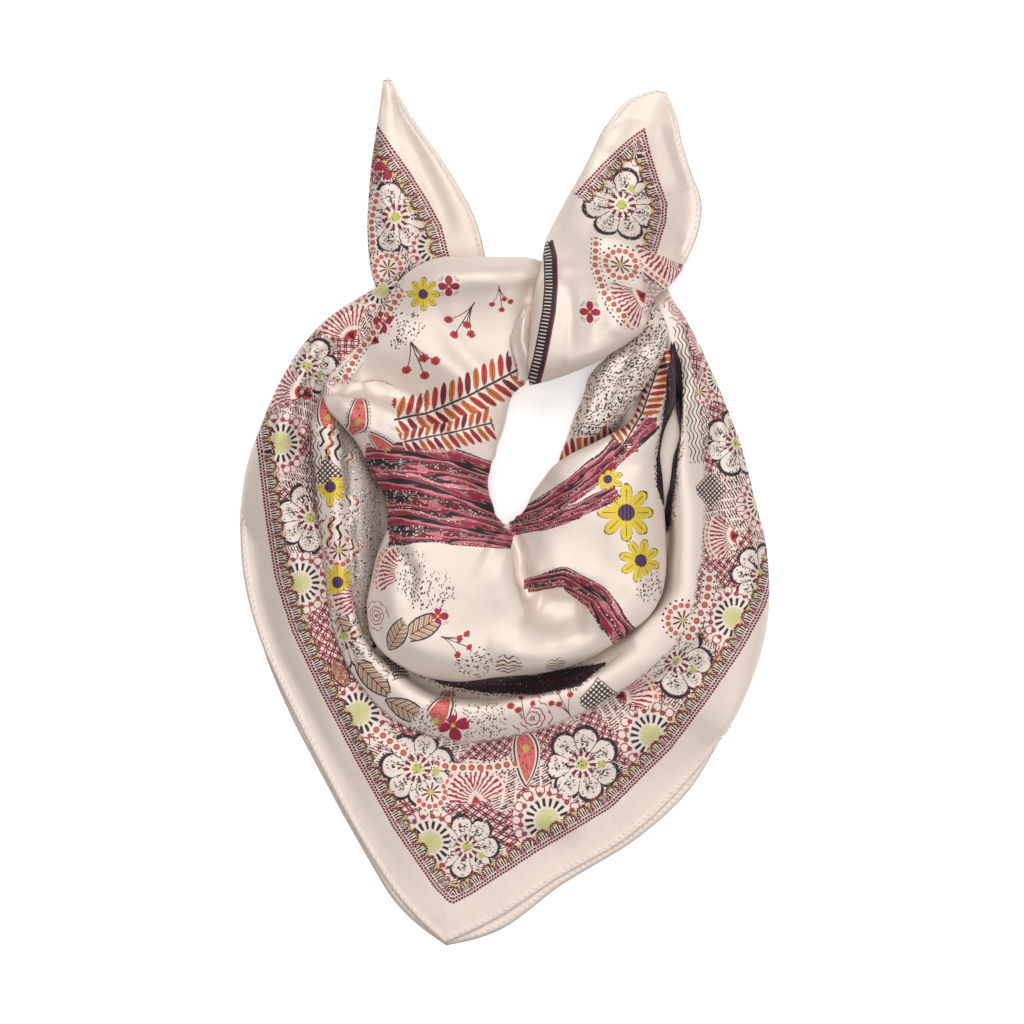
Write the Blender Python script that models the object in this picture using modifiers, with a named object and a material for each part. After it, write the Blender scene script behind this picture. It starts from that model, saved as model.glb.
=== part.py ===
"""A silk square scarf, folded corner to corner, wound into a neck loop, knotted and laid down on a table.

The doubled triangle points to -Y, its two ends stand up as ears at +Y, and the knot is at the right
(+X) of the back. Every stretch of the cloth that shows is a loft: each row of its table is one section,
from the edge nearer the neck hole (in) to the edge away from it (out). Lengths are in millimetres until
a mesh is made. Heights are those of the middle of the wall.
"""

import math

import bpy
import numpy as np
from mathutils import Vector
from mathutils.bvhtree import BVHTree

MM = 0.001
WALL = 1.2
GAP = 0.3  # between walls that lie flat on each other
TABLE = WALL / 2 + 0.1  # height of a wall that lies on the table
LEAF_TOP = TABLE + WALL + GAP  # height of a wall that lies on the second leaf
SEAM = 1.2  # between the two nodes of the pleat, inside it
PLEAT_DEPTH = 13.0  # how far the pleat goes back under its fold line
REST_ROOM = 1.2  # from the solid below to the middle of the wall that rests on it
REACH = 2.5  # how far round a point that room is kept
SEAT_GAP = 0.45
OFF_TABLE = 8.0  # a section this high is no longer held by the table
CORE_ROOM = 0.9  # what the hidden layers keep from the cloth over them
CORE_REACH = 5.0
CORE_LEAVES = 3  # rounded leaf edges that show one above the other round the hidden layers

SILK = (0.86, 0.72, 0.64, 1.0)

# ---------------------------------------------------------------- tables

# The outer stretch and its pleat: from the left shoulder round the point to the knot.
DRAPE_COLUMNS = (
    "in_x in_y in_z in_turn fold_x fold_y ridge_z fold_z pleat crest_z out_x out_y out_z out_turn"
)
DRAPE_CORNER = 19
DRAPE_ROWS = [
    (8, 112, 7, -4, 8, 122, 12, 12, 0.0, 12, 8, 133, 9, 3),
    (-12, 114, 8, -4, -14, 124, 13, 13, 0.0, 13, -17, 135, 10, 3),
    (-29, 117, 9, -5, -34, 127, 14, 14, 0.0, 14, -39, 137, 11, 4),
    (-41, 107, 9, -6, -50, 116, 15, 16, 0.0, 15, -56, 131, 10, 6),
    (-53, 92, 9, -6, -64, 105, 16, 17, 0.0, 16, -73, 122, 9, 8),
    (-62, 79, 9, -6, -78, 92, 17, 18, 0.0, 17, -89, 112, 10, 9),
    (-70, 68, 9, -6, -90, 82, 18, 19, 0.0, 18, -103, 100, 10, 10),
    (-75, 61, 9, -6, -97, 71, 19, 20, 0.0, 19, -114, 86, 10, 10),
    (-76, 54, 8, -6, -101, 61, 19, 20, 0.15, 19, -125, 67, 10, 10),
    (-68, 40, 7, -6, -105, 51, 20, 19, 0.5, 19, -133, 48, 9, 10),
    (-62, 23, 6, -6, -103, 33, 21, 17, 0.9, 17, -141, 26, 7, 7),
    (-59, 7, 6, -6, -103, 12, 22, 16, 1.0, 14, -144, 7, 5, 2),
    (-59, -12, 6, -6, -100, -9, 22, 16, 1.0, 12, -145, -15, 3.0, -7),
    (-62, -34, 6, -6, -97, -35, 21, 16, 1.0, 11, -142, -42, 2.6, -8),
    (-62, -55, 6, -6, -94, -59, 21, 15, 1.0, 9, -133, -73, 2.6, -8),
    (-55, -70, 6, -6, -86, -82, 21, 15, 1.0, 8, -118, -106, 2.6, -9),
    (-45, -78, 6, -6, -73, -101, 22, 15, 1.0, 7, -99, -143, 2.6, -10),
    (-38, -84, 6, -6, -60, -113, 22, 15, 1.0, 6, -77, -183, 2.6, -12),
    (-30, -86, 6, -6, -45, -120, 23, 15, 1.0, 5.5, -53, -218, 2.6, -14),
    (-21, -86, 6, -6, -31, -124, 23, 15, 1.0, 5, -33, -237, 2.6, -16),
    (-12, -86, 6, -6, -16, -125, 23, 15, 1.0, 5.5, -9, -226, 2.6, -14),
    (0, -85, 6, -6, 3, -122, 24, 16, 1.0, 6, 28, -202, 2.6, -12),
    (17, -81, 6, -6, 25, -116, 24, 17, 0.9, 8, 70, -177, 3.0, -10),
    (33, -75, 6, -6, 44, -109, 24, 19, 0.6, 12, 106, -141, 4.0, -7),
    (48, -67, 7, -6, 62, -98, 24, 21, 0.25, 16, 130, -105, 6.5, 3),
    (62, -58, 8, -6, 80, -84, 24, 22, 0.0, 18, 142, -71, 8, 8),
    (78, -46, 8, -6, 99, -64, 24, 23, 0.0, 19, 145, -45, 9, 10),
    (84, -27, 8, -5, 105, -34, 24, 23, 0.0, 19, 143, -18, 10, 10),
    (86, -9, 9, -4, 106, -6, 24, 23, 0.0, 19, 136, 12, 10, 10),
    (88, 10, 11, 3, 103, 18, 24, 23, 0.0, 18, 127, 44, 10, 9),
    (90, 29, 12, 4, 102, 40, 23, 22, 0.0, 18, 117, 70, 9, 8),
    (94, 48, 12, 4, 102, 59, 22, 21, 0.0, 17, 109, 89, 9, 7),
    (94, 68, 12, 3, 99, 77, 20, 19, 0.0, 16, 102, 103, 8, 6),
    (91, 92, 11, 2, 93, 99, 17, 16, 0.0, 14, 95, 112, 7, 4),
    (86, 107, 10, 2, 88, 112, 14, 14, 0.0, 13, 90, 121, 7, 3),
]

# The pleat's turns: share of the way to the crest where it has faded, and how far back and down it goes.
PLEAT_TURNS = [
    (0.0, 0.0, 0.0),
    (0.2, 5.0, 3.6),
    (0.45, PLEAT_DEPTH, 5.4),
    (0.75, 3.5, 8.4),
]
PLEAT_SEAM = 5  # the control point before the seam, on the underside of the fold
DRAPE_SPANS = (1, 1, 2, 2, 2, 2, 1, 2, 2, 3, 2)

# A stretch with two edges and a crest between them.
SHEET_COLUMNS = "in_x in_y in_z in_turn in_low crest_at crest_z out_x out_y out_z out_turn out_low"

LOOP_SPANS = (3, 2, 3, 3, 2, 2)

# Round the neck: from the knot over the back, down the left side, across the front and up again.
LOOP_ROWS = [
    (15, 77, 20, 7, 6, 0.5, 29, 28, 134, 16, 7, 6),
    (11, 70, 20, 7, 5, 0.5, 29, 14, 138, 15, 8, 5),
    (5, 65, 20, 7, 4, 0.5, 29, -2, 138, 14, 8, 4),
    (2, 56, 20, 8, 3, 0.5, 29, -20, 139, 14, 8, 3),
    (0, 48, 20, 8, 3, 0.5, 29, -38, 138, 14, 8, 5),
    (-2, 42, 20, 8, 3, 0.5, 30, -53, 130, 19, 7, 13),
    (-4, 37, 20, 8, 3, 0.5, 30, -66, 114, 21, 6, 16),
    (-5, 31, 20, 8, 3, 0.5, 30, -77, 95, 22, 6, 17),
    (-7, 27, 20, 8, 3, 0.5, 31, -89, 79, 23, 5, 18),
    (-8, 22, 20, 8, 3, 0.5, 31, -99, 65, 24, 5, 20),
    (-9, 18, 20, 8, 3, 0.5, 32, -88, 51, 24, 5, 17),
    (-9, 13, 20, 8, 3, 0.5, 32, -80, 38, 22, 6, 12),
    (-8, 9, 21, 8, 3, 0.45, 33, -73, 22, 20, 7, 10),
    (-6, 4, 21, 8, 3, 0.45, 33, -65, 7, 19, 8, 9),
    (-5, 0, 21, 8, 3, 0.45, 33, -64, -4, 19, 8, 9),
    (-4, -2, 21, 7, 3, 0.45, 34, -68, -18, 19, 8, 9),
    (-3, -3, 21, 7, 3, 0.5, 35, -73, -37, 19, 8, 9),
    (-2, -4, 21, 7, 3, 0.5, 36, -75, -51, 19, 8, 9),
    (-1, -5, 21, 7, 3, 0.5, 36, -70, -71, 19, 9, 9),
    (0, -5, 21, 7, 3, 0.55, 36, -59, -82, 20, 9, 9),
    (1, -5, 21, 7, 3, 0.55, 36, -44, -89, 20, 9, 9),
    (2, -4, 21, 7, 3, 0.6, 35, -28, -92, 20, 9, 9),
    (4, -3, 21, 7, 3, 0.6, 34, -8, -90, 20, 9, 9),
    (6, -1, 21, 7, 3, 0.6, 33, 22, -87, 20, 9, 9),
    (8, 0, 21, 7, 3, 0.6, 32, 40, -81, 20, 9, 9),
    (11, 4, 21, 7, 3, 0.6, 32, 56, -71, 20, 9, 9),
    (14, 9, 22, 7, 3, 0.55, 32, 76, -59, 20, 8, 11),
    (17, 13, 23, 7, 3, 0.5, 33, 85, -46, 20, 7, 12),
    (21, 18, 24, 7, 4, 0.45, 34, 88, -32, 20, 6, 12),
    (24, 22, 26, 6, 14, 0.4, 34, 88, -15, 20, 6, 12),
    (28, 26, 28, 4, 23, 0.35, 34, 87, 1, 20, 6, 12),
    (37, 32, 29, 4, 24, 0.35, 34, 86, 18, 20, 6, 12),
    (47, 37, 29, 4, 24, 0.35, 33, 85, 34, 19, 6, 11),
    (58, 43, 28, 4, 23, 0.35, 31, 88, 46, 18, 5, 11),
    (67, 48, 24, 4, 19, 0.45, 27, 92, 56, 17, 4, 11),
    (73, 59, 17, 3, 12, 0.5, 21, 93, 68, 15, 3, 11),
    (76, 73, 14, 3, 10, 0.5, 18, 91, 82, 13, 3, 9),
    (77, 86, 12, 3, 8, 0.5, 15, 88, 92, 11, 3, 8),
]

# Creases of the loop: (depth at its first point, depth at its last, width) and its line on the plan.
# A trough has a negative depth.
LOOP_CREASES = {
    "corner": ((-6.0, -0.5, 4.5), [(-96, 64), (-73, 63), (-56, 58), (-42, 51), (-24, 40)]),
    "left_side": ((-3.0, -1.0, 6.0), [(-66, -2), (-53, -21), (-47, -33), (-50, -50)]),
    "apex": ((-4.0, -4.5, 6.0), [(-1, -8), (4, -22), (5, -34), (10, -46)]),
    "pocket": ((-3.5, -3.5, 13.0), [(12, -50), (26, -58), (36, -58)]),
    "front_roll": ((1.5, 1.5, 8.0), [(-44, -76), (-20, -81), (0, -80), (24, -76)]),
}

# The inner band at the right of the neck: out from under the knot, and in under the front.
BAND_ROWS = [
    (66, 96, 18, 4, 14, 0.5, 23, 87, 106, 17, 4, 14),
    (61, 90, 19, 5, 14, 0.5, 26, 89, 99, 19, 4, 15),
    (56, 84, 20, 6, 12, 0.5, 29, 88, 92, 22, 4, 18),
    (47, 75, 20, 6, 8, 0.5, 30, 85, 82, 23, 4, 19),
    (43, 63, 19, 6, 6, 0.5, 29, 77, 70, 23, 4, 19),
    (38, 51, 18, 6, 5, 0.5, 28, 69, 58, 22, 4, 17),
    (34, 40, 16, 6, 4, 0.5, 24, 62, 47, 17, 4, 12),
    (30, 30, 13, 5, 4, 0.5, 19, 55, 38, 13, 4, 8),
    (29, 22, 11, 5, 4, 0.5, 15, 48, 30, 10, 4, 6),
]

BAND_SPANS = (2, 1, 2, 2, 1, 1)

# The right end, from its corner down over the knot, and turned in at the neck hole.
KNOT_COLUMNS = "in_x in_y out_x out_y in_z crest_z out_z in_turn out_turn bow"
KNOT_ROWS = [
    (82, 232, 89, 231, 0.8, 1.0, 0.8, -1, -1, 0),
    (70, 228, 94, 220, 0.8, 2.0, 0.8, -3, -3, 0),
    (59, 217, 98, 202, 1.5, 3.5, 1.2, -4, -5, 0),
    (50, 202, 103, 186, 3.0, 6.5, 1.6, 3, -6, 0),
    (42, 187, 108, 172, 5.0, 10, 2.4, 6, -6, 0),
    (34, 172, 107, 156, 7.5, 15, 4.5, 7, -6, 0),
    (27, 158, 102, 143, 12, 21, 9, 8, -5, 0),
    (22, 147, 95, 130, 17, 27, 15, 8, 3, 0),
    (20, 134, 88, 122, 22, 33, 20, 8, 6, 0),
    (19, 122, 83, 117, 29, 40, 25, 6, 7, -1),
    (18, 106, 81, 111, 32, 44, 28, 5, 7, -2),
    (18, 89, 79, 107, 33, 45, 29, 4, 5, -4),
    (18, 76, 78, 105, 31, 42, 28, 0, 0, -6),
    (19, 69, 77, 103, 25, 34, 25, -2, -2, -8),
]

KNOT_SPANS = (2, 2, 2, 2, 2, 2)

# The left end, which comes out from under the back of the loop.
EAR_COLUMNS = "in_x in_y out_x out_y in_z crest_z out_z in_turn out_turn"
EAR_ROWS = [
    (-67, 238, -62, 238, 0.8, 0.9, 0.8, -0.6, -0.6),
    (-68, 227, -56, 226, 1.2, 2.4, 0.8, -0.5, -3),
    (-70, 211, -45, 209, 2.2, 4.6, 0.9, 3, -5),
    (-72, 197, -35, 195, 2.8, 6.0, 1.0, 4, -6),
    (-74, 180, -25, 179, 3.0, 6.5, 1.2, 5, -7),
    (-75, 164, -17, 164, 3.0, 6.0, 1.4, 5, -7),
    (-75, 150, -12, 148, 2.8, 5.0, 1.4, 5, -7),
    (-74, 138, -10, 133, 2.4, 3.4, 1.4, 5, -7),
    (-72, 128, -11, 124, 2.0, 2.4, 1.4, 5, -7),
]

EAR_SPANS = (1, 2, 2, 2, 2, 1)

# The pleat that the knot pinches out of the back.
PLEAT_COLUMNS = "in_x in_y out_x out_y in_z crest_z out_z in_turn out_turn"
PLEAT_ROWS = [
    (9, 110, 19, 113, 31, 33.5, 31, 1, -1),
    (5, 101, 20, 104, 33, 35.5, 33, 2, -2),
    (3, 94, 21, 96, 33, 36.0, 33, 2, -2),
    (6, 86, 21, 88, 32, 35.0, 32, 2, -2),
    (8, 78, 20, 80, 29, 32.5, 30, 2, -2),
    (7, 73, 20, 75, 26, 29.5, 27, 2, -2),
]

PLEAT_SPANS = (1, 1, 1, 1, 1, 1)

# The second leaf of the folded square, which shows past the first along its hems.
LEAF_COLUMNS = "in_x in_y out_x out_y"
LEAF_CORNER = 6
LEAF_ROWS = [
    (-119, -46, -141, -33),
    (-104, -80, -134, -70),
    (-90, -109, -120, -106),
    (-79, -142, -101, -143),
    (-60, -175, -79, -183),
    (-41, -199, -54, -221),
    (-29, -208, -32, -238),
    (-16, -202, -8, -232),
    (14, -186, 31, -205),
    (53, -158, 77, -176),
    (83, -128, 105, -148),
    (96, -112, 119, -124),
]

LEAF_SPANS = (1, 1, 1, 1, 1, 1)
LEAF_REST = {
    "in_z": TABLE, "in_turn": -3, "in_low": TABLE, "crest_at": 0.5, "crest_z": TABLE,
    "out_z": TABLE, "out_turn": -4, "out_low": TABLE,
}

# The hidden layers, heaped in a ring round the neck hole.
LEAF_SWELL = 1.2  # how far each leaf edge bulges at the sides
CORE_TALLEST = 22.0
CORE_LOWEST = 2.0
CORE_COLUMNS = "in_x in_y out_x out_y"
CORE_ROWS = [
    (13, 81, 14, 121),
    (2, 72, -13, 119),
    (-5, 63, -40, 117),
    (-8, 54, -64, 107),
    (-11, 44, -84, 92),
    (-14, 34, -100, 75),
    (-17, 24, -114, 55),
    (-18, 14, -122, 33),
    (-17, 6, -124, 10),
    (-15, 0, -120, -15),
    (-13, -6, -112, -40),
    (-10, -11, -99, -67),
    (-6, -14, -84, -95),
    (-2, -16, -66, -120),
    (2, -16, -46, -138),
    (7, -14, -22, -147),
    (11, -11, 9, -145),
    (15, -7, 42, -130),
    (19, -2, 73, -112),
    (24, 5, 100, -90),
    (29, 12, 117, -67),
    (34, 20, 124, -42),
    (39, 27, 123, -15),
    (44, 35, 116, 17),
    (49, 45, 107, 44),
    (54, 57, 98, 70),
    (60, 70, 89, 90),
    (64, 84, 80, 101),
    (56, 92, 66, 110),
    (42, 90, 49, 116),
    (27, 86, 32, 119),
]


# ---------------------------------------------------------------- curves


def columns(names, rows, **shared):
    """A table as one array for each named column; shared holds what all its rows have alike."""
    table = {name: np.array(cells, float) for name, cells in zip(names.split(), zip(*rows))}
    for name, value in shared.items():
        table[name] = np.full(len(rows), float(value))
    return table


def smooth_through(points, knots, places):
    """A smooth curve through points, which it meets at knots, read at places."""
    points = np.asarray(points, float)
    gaps = np.diff(knots)[:, None]
    chords = np.diff(points, axis=0) / gaps
    slopes = np.empty_like(points)
    slopes[1:-1] = (chords[:-1] * gaps[1:] + chords[1:] * gaps[:-1]) / (gaps[:-1] + gaps[1:])
    slopes[0] = chords[0]
    slopes[-1] = chords[-1]
    span = np.clip(np.searchsorted(knots, places, side="right") - 1, 0, len(knots) - 2)
    gap = gaps[span]
    t = ((places - knots[span])[:, None]) / gap
    start = (2 * t**3 - 3 * t**2 + 1) * points[span] + (t**3 - 2 * t**2 + t) * gap * slopes[span]
    end = (3 * t**2 - 2 * t**3) * points[span + 1] + (t**3 - t**2) * gap * slopes[span + 1]
    return start + end


def along_stretch(table, count, corner=None, closed=False):
    """The table read smoothly at count places from its first row to its last. A corner row stays sharp."""
    names = list(table)
    rows = np.stack([table[name] for name in names], axis=1)
    if closed:
        rows = np.concatenate([rows[-3:], rows, rows[:4]])
    where = {name: i for i, name in enumerate(names)}
    moved_in = np.hypot(np.diff(rows[:, where["in_x"]]), np.diff(rows[:, where["in_y"]]))
    moved_out = np.hypot(np.diff(rows[:, where["out_x"]]), np.diff(rows[:, where["out_y"]]))
    knots = np.concatenate([[0], np.cumsum(0.3 * moved_in + 0.7 * moved_out + 0.5)])
    if closed:
        places = np.linspace(knots[3], knots[-4], count + 1)[:-1]
        read = smooth_through(rows, knots, places)
    elif corner is None:
        read = smooth_through(rows, knots, np.linspace(knots[0], knots[-1], count))
    else:
        before = max(3, round(count * knots[corner] / knots[-1]))
        first = np.linspace(knots[0], knots[corner], before)
        second = np.linspace(knots[corner], knots[-1], count - before + 1)
        read = np.concatenate(
            [
                smooth_through(rows[: corner + 1], knots[: corner + 1], first),
                smooth_through(rows[corner:], knots[corner:], second)[1:],
            ]
        )
    return {name: read[:, i] for i, name in enumerate(names)}


def loft(table, controls, spans):
    """Grid of points: one row for each section. controls are (across, height) pairs of arrays."""
    start = np.stack([table["in_x"], table["in_y"]], axis=1)
    across = np.stack([table["out_x"], table["out_y"]], axis=1) - start
    width = np.linalg.norm(across, axis=1)
    across /= width[:, None]
    aside = np.stack([-across[:, 1], across[:, 0]], axis=1)
    bow = table.get("bow", np.zeros(len(width)))
    marks = np.concatenate([np.linspace(i, i + 1, n + 1)[:-1] for i, n in enumerate(spans)] + [[len(spans)]])
    grid = np.empty((len(width), len(marks), 3))
    for i in range(len(width)):
        points = np.array([(d[i], z[i]) for d, z in controls])
        knots = np.concatenate([[0], np.cumsum(np.linalg.norm(np.diff(points, axis=0), axis=1) + 0.2)])
        section = smooth_through(points, knots, np.interp(marks, range(len(knots)), knots))
        share = np.clip(section[:, 0] / width[i], 0, 1)
        grid[i, :, :2] = start[i] + section[:, :1] * across[i]
        grid[i, :, :2] += (4 * share * (1 - share) * bow[i])[:, None] * aside[i]
        grid[i, :, 2] = section[:, 1]
    return grid


def edge_controls(turn, low, edge_z, beside, beside_z):
    """End, edge and shoulder of a section. A positive turn goes back under, a negative one lies flat."""
    edge = -np.minimum(turn, 0)
    end = np.maximum(turn, 0)
    fullness = 0.52 + 0.24 * np.clip(turn / 6, -1, 1)
    shoulder = edge + 0.3 * (beside - edge)
    return [(end, low), (edge, edge_z), (shoulder, edge_z + fullness * (beside_z - edge_z))]


def mirrored(controls, width):
    return [(width - across, z) for across, z in reversed(controls)]


def sheet_sections(table):
    width = np.hypot(table["out_x"] - table["in_x"], table["out_y"] - table["in_y"])
    crest = table["crest_at"] * width
    crest_z = table["crest_z"]
    left = edge_controls(table["in_turn"], table["in_low"], table["in_z"], crest, crest_z)
    right = edge_controls(table["out_turn"], table["out_low"], table["out_z"], width - crest, crest_z)
    return left + [(crest, crest_z)] + mirrored(right, width)


def drape_sections(table):
    """Inner edge, ridge, pleat turned under at the fold line, crest and outer edge."""
    width = np.hypot(table["out_x"] - table["in_x"], table["out_y"] - table["in_y"])
    fold = np.hypot(table["fold_x"] - table["in_x"], table["fold_y"] - table["in_y"])
    ridge = 0.5 * fold
    crest = fold + 0.42 * (width - fold)
    pleat = np.clip(table["pleat"], 0, 1)
    fold_z = table["fold_z"]
    crest_z = table["crest_z"]
    left = edge_controls(table["in_turn"], table["in_z"] - 1.5, table["in_z"], ridge, table["ridge_z"])
    end_z = np.where(table["out_turn"] > 0, TABLE, LEAF_TOP)
    right = edge_controls(table["out_turn"], end_z, table["out_z"], width - crest, crest_z)
    middle = [
        (
            fold + (1 - pleat) * share * (crest - fold) - pleat**2 * back,
            fold_z - pleat**0.4 * drop + (1 - pleat) * share * (crest_z - fold_z),
        )
        for share, back, drop in PLEAT_TURNS
    ]
    return left + [(ridge, table["ridge_z"])] + middle + [(crest, crest_z)] + mirrored(right, width)


# ---------------------------------------------------------------- meshes


def mesh_object(name, points, faces):
    mesh = bpy.data.meshes.new(name)
    mesh.from_pydata([Vector(p) * MM for p in points], [], faces)
    mesh.update()
    mesh.shade_smooth()
    obj = bpy.data.objects.new(name, mesh)
    scarf.objects.link(obj)
    return obj


def silk(obj, shade):
    material = bpy.data.materials.new(obj.name)
    material.use_nodes = True
    shader = material.node_tree.nodes["Principled BSDF"]
    shader.inputs["Base Color"].default_value = [c * shade for c in SILK[:3]] + [1.0]
    shader.inputs["Roughness"].default_value = 0.38
    shader.inputs["Metallic"].default_value = 0.0
    obj.data.materials.append(material)


def cloth_wall(name, grid, shade=1.0):
    """The grid as a wall of even thickness, with its own material."""
    rows, across = grid.shape[:2]
    faces = [
        (i * across + j, i * across + j + 1, (i + 1) * across + j + 1, (i + 1) * across + j)
        for i in range(rows - 1)
        for j in range(across - 1)
    ]
    obj = mesh_object(name, grid.reshape(-1, 3), faces)
    wall = obj.modifiers.new("wall", "SOLIDIFY")
    wall.thickness = WALL * MM
    wall.offset = 0
    silk(obj, shade)
    return obj


def surface_of(objects):
    """One search tree over the finished solids, in metres."""
    graph = bpy.context.evaluated_depsgraph_get()
    points = []
    faces = []
    for obj in objects:
        mesh = obj.evaluated_get(graph).to_mesh()
        faces += [[len(points) + i for i in face.vertices] for face in mesh.polygons]
        points += [v.co.copy() for v in mesh.vertices]
    return BVHTree.FromPolygons(points, faces)


def blurred(values):
    padded = np.pad(values, 1, mode="edge")
    return (
        padded[:-2, 1:-1] + padded[2:, 1:-1] + padded[1:-1, :-2] + padded[1:-1, 2:] + 4 * values
    ) / 8


def places_round(x, y, reach):
    """The place itself and 16 round it, at half the reach and at the whole of it, in metres."""
    yield Vector((x * MM, y * MM, 0))
    for turn in range(16):
        angle = turn * math.pi / 4
        out = reach if turn < 8 else reach / 2
        yield Vector(((x + out * math.cos(angle)) * MM, (y + out * math.sin(angle)) * MM, 0))


def height_below(tree, x, y, steepest=0.5):
    """Height that a wall's middle needs at x, y to clear the solids of the tree, within REACH all round."""
    highest = 0.0
    for turn, foot in enumerate(places_round(x, y, REACH)):
        place, normal, _, _ = tree.ray_cast(foot + Vector((0, 0, 0.2)), Vector((0, 0, -1)))
        if place is not None:
            room = REST_ROOM if turn else REST_ROOM / max(abs(normal.z), steepest)
            highest = max(highest, place.z / MM + room)
    return highest


def height_above(tree, x, y):
    """Height that the hidden layers may reach at x, y under the solids of the tree."""
    lowest = CORE_TALLEST
    for foot in places_round(x, y, CORE_REACH):
        place = tree.ray_cast(foot - Vector((0, 0, 0.01)), Vector((0, 0, 1)))[0]
        if place is not None:
            lowest = min(lowest, place.z / MM - CORE_ROOM)
    return lowest


def settled(grid, below, edges=(0, 0), until=1.0):
    """The grid raised, smoothly, to lie clear of the solids below it, up to a share of its length.

    edges are the numbers of points at its two sides that rise together, so that a turned edge keeps
    its shape."""
    tree = surface_of(below)
    need = np.zeros(grid.shape[:2])
    for i, j in np.ndindex(need.shape):
        if i <= until * len(grid):
            x, y, z = grid[i, j]
            need[i, j] = max(0.0, height_below(tree, x, y) - z)
    for band in (slice(0, edges[0]), slice(len(grid[0]) - edges[1], None)):
        if need[:, band].size:
            need[:, band] = need[:, band].max(axis=1, keepdims=True)
    beside = np.pad(need, ((1, 1), (0, 0)), mode="edge")
    need = np.maximum(need, np.maximum(beside[:-2], beside[2:]))
    lift = need.copy()
    for _ in range(8):
        lift = np.maximum(need, blurred(lift))
    out = grid.copy()
    out[:, :, 2] = np.maximum(out[:, :, 2] + lift, TABLE)
    return out


def seated(grid, below, **how):
    """The grid settled on the solids below, then let down, where it is off the table, until it meets them."""
    out = settled(grid, below, **how)
    tree = surface_of(below)
    nearest = min(tree.find_nearest(Vector(p) * MM)[3] for p in out.reshape(-1, 3)) / MM
    off_table = np.clip((out[:, :, 2].min(axis=1) - TABLE) / OFF_TABLE, 0, 1)
    out[:, :, 2] -= max(0.0, nearest - WALL / 2 - SEAT_GAP) * off_table[:, None]
    return out


# ---------------------------------------------------------------- pieces


def drape():
    """The outer stretch: its pleat is a node of its own, parted inside the fold where it doesn't show."""
    table = along_stretch(columns(DRAPE_COLUMNS, DRAPE_ROWS), 58, DRAPE_CORNER)
    grid = loft(table, drape_sections(table), DRAPE_SPANS)
    seam = sum(DRAPE_SPANS[:PLEAT_SEAM]) + 1
    fold_grid = grid[:, : seam + 1].copy()
    front_grid = grid[:, seam:].copy()
    fold_grid[:, -1] = drawn_back(fold_grid[:, -1], fold_grid[:, -2])
    front_grid[:, 0] = drawn_back(front_grid[:, 0], front_grid[:, 1])
    return front_grid, fold_grid


def drawn_back(edge, beside):
    """The edge column moved half a seam toward its neighbour, and never by half the way."""
    step = beside - edge
    length = np.linalg.norm(step, axis=1)[:, None]
    return edge + step / length * np.minimum(SEAM / 2, 0.45 * length)


def creased(grid, creases):
    """The grid with soft troughs and ridges along the given lines."""
    out = grid.copy()
    for (depth, end_depth, width), line in creases.values():
        line = np.array(line, float)
        nearest = np.full(grid.shape[:2], np.inf)
        along = np.zeros(grid.shape[:2])
        for k, (start, end) in enumerate(zip(line[:-1], line[1:])):
            step = end - start
            share = np.clip(((grid[:, :, :2] - start) @ step) / (step @ step), 0, 1)
            off = np.linalg.norm(grid[:, :, :2] - start - share[..., None] * step, axis=2)
            along = np.where(off < nearest, (k + share) / (len(line) - 1), along)
            nearest = np.minimum(off, nearest)
        out[:, :, 2] += (depth + (end_depth - depth) * along) * np.exp(-((nearest / width) ** 2))
    return out


def sheet(names, rows, count, spans, corner=None, **shared):
    table = columns(names, rows, **shared)
    for side in ("in", "out"):
        if side + "_low" not in table:
            turn = table[side + "_turn"]
            fall = 0.1 + 2.5 * np.clip(1 + turn / 3, 0, 1) + 0.4 * np.clip(turn, 0, 5)
            table[side + "_low"] = np.maximum(TABLE, table[side + "_z"] - fall)
    table = along_stretch(table, count, corner)
    return loft(table, sheet_sections(table), spans)


def hidden_layers(above):
    """What fills the scarf: flat below, up to just under the cloth above, with leaf edges at its sides."""
    table = along_stretch(columns(CORE_COLUMNS, CORE_ROWS), 56, closed=True)
    inner = np.stack([table["in_x"], table["in_y"]], axis=1)
    outer = np.stack([table["out_x"], table["out_y"]], axis=1)
    shares = np.linspace(0, 1, 11)
    plan = inner[:, None] + (outer - inner)[:, None] * shares[None, :, None]
    tree = surface_of(above)
    tops = np.empty(plan.shape[:2])
    for i, j in np.ndindex(tops.shape):
        tops[i, j] = height_above(tree, *plan[i, j])
    for softness in (0.0, 0.5):
        lowest = tops.copy()
        for turn in (-1, 1):
            lowest = np.minimum(lowest, np.roll(tops, turn, axis=0))
        lowest[:, 1:] = np.minimum(lowest[:, 1:], tops[:, :-1])
        lowest[:, :-1] = np.minimum(lowest[:, :-1], tops[:, 1:])
        tops = lowest + softness * np.minimum(tops - lowest, 1.5)
    tops = np.clip(tops, CORE_LOWEST, CORE_TALLEST)
    away = (outer - inner) / np.linalg.norm(outer - inner, axis=1)[:, None]
    side = np.linspace(0, 1, 2 * CORE_LEAVES + 1)[:-1]
    leaf = LEAF_SWELL * np.sin(np.pi * CORE_LEAVES * side) ** 2 - LEAF_SWELL * side
    rings = []
    for i in range(len(inner)):
        ring = []
        for share, swell in zip(side, leaf):
            ring.append((*(outer[i] + away[i] * swell), share * tops[i, -1]))
        ring += [(*plan[i, j], tops[i, j]) for j in range(len(shares) - 1, -1, -1)]
        for share, swell in zip(side[::-1], leaf[::-1]):
            ring.append((*(inner[i] - away[i] * swell), share * tops[i, 0]))
        rings.append(ring)
    size = len(rings[0])
    points = [p for ring in rings for p in ring]
    faces = [
        (i * size + j, (i + 1) % len(rings) * size + j,
         (i + 1) % len(rings) * size + (j + 1) % size, i * size + (j + 1) % size)
        for i in range(len(rings))
        for j in range(size)
    ]
    return mesh_object("core_layers", points, faces)


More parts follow.
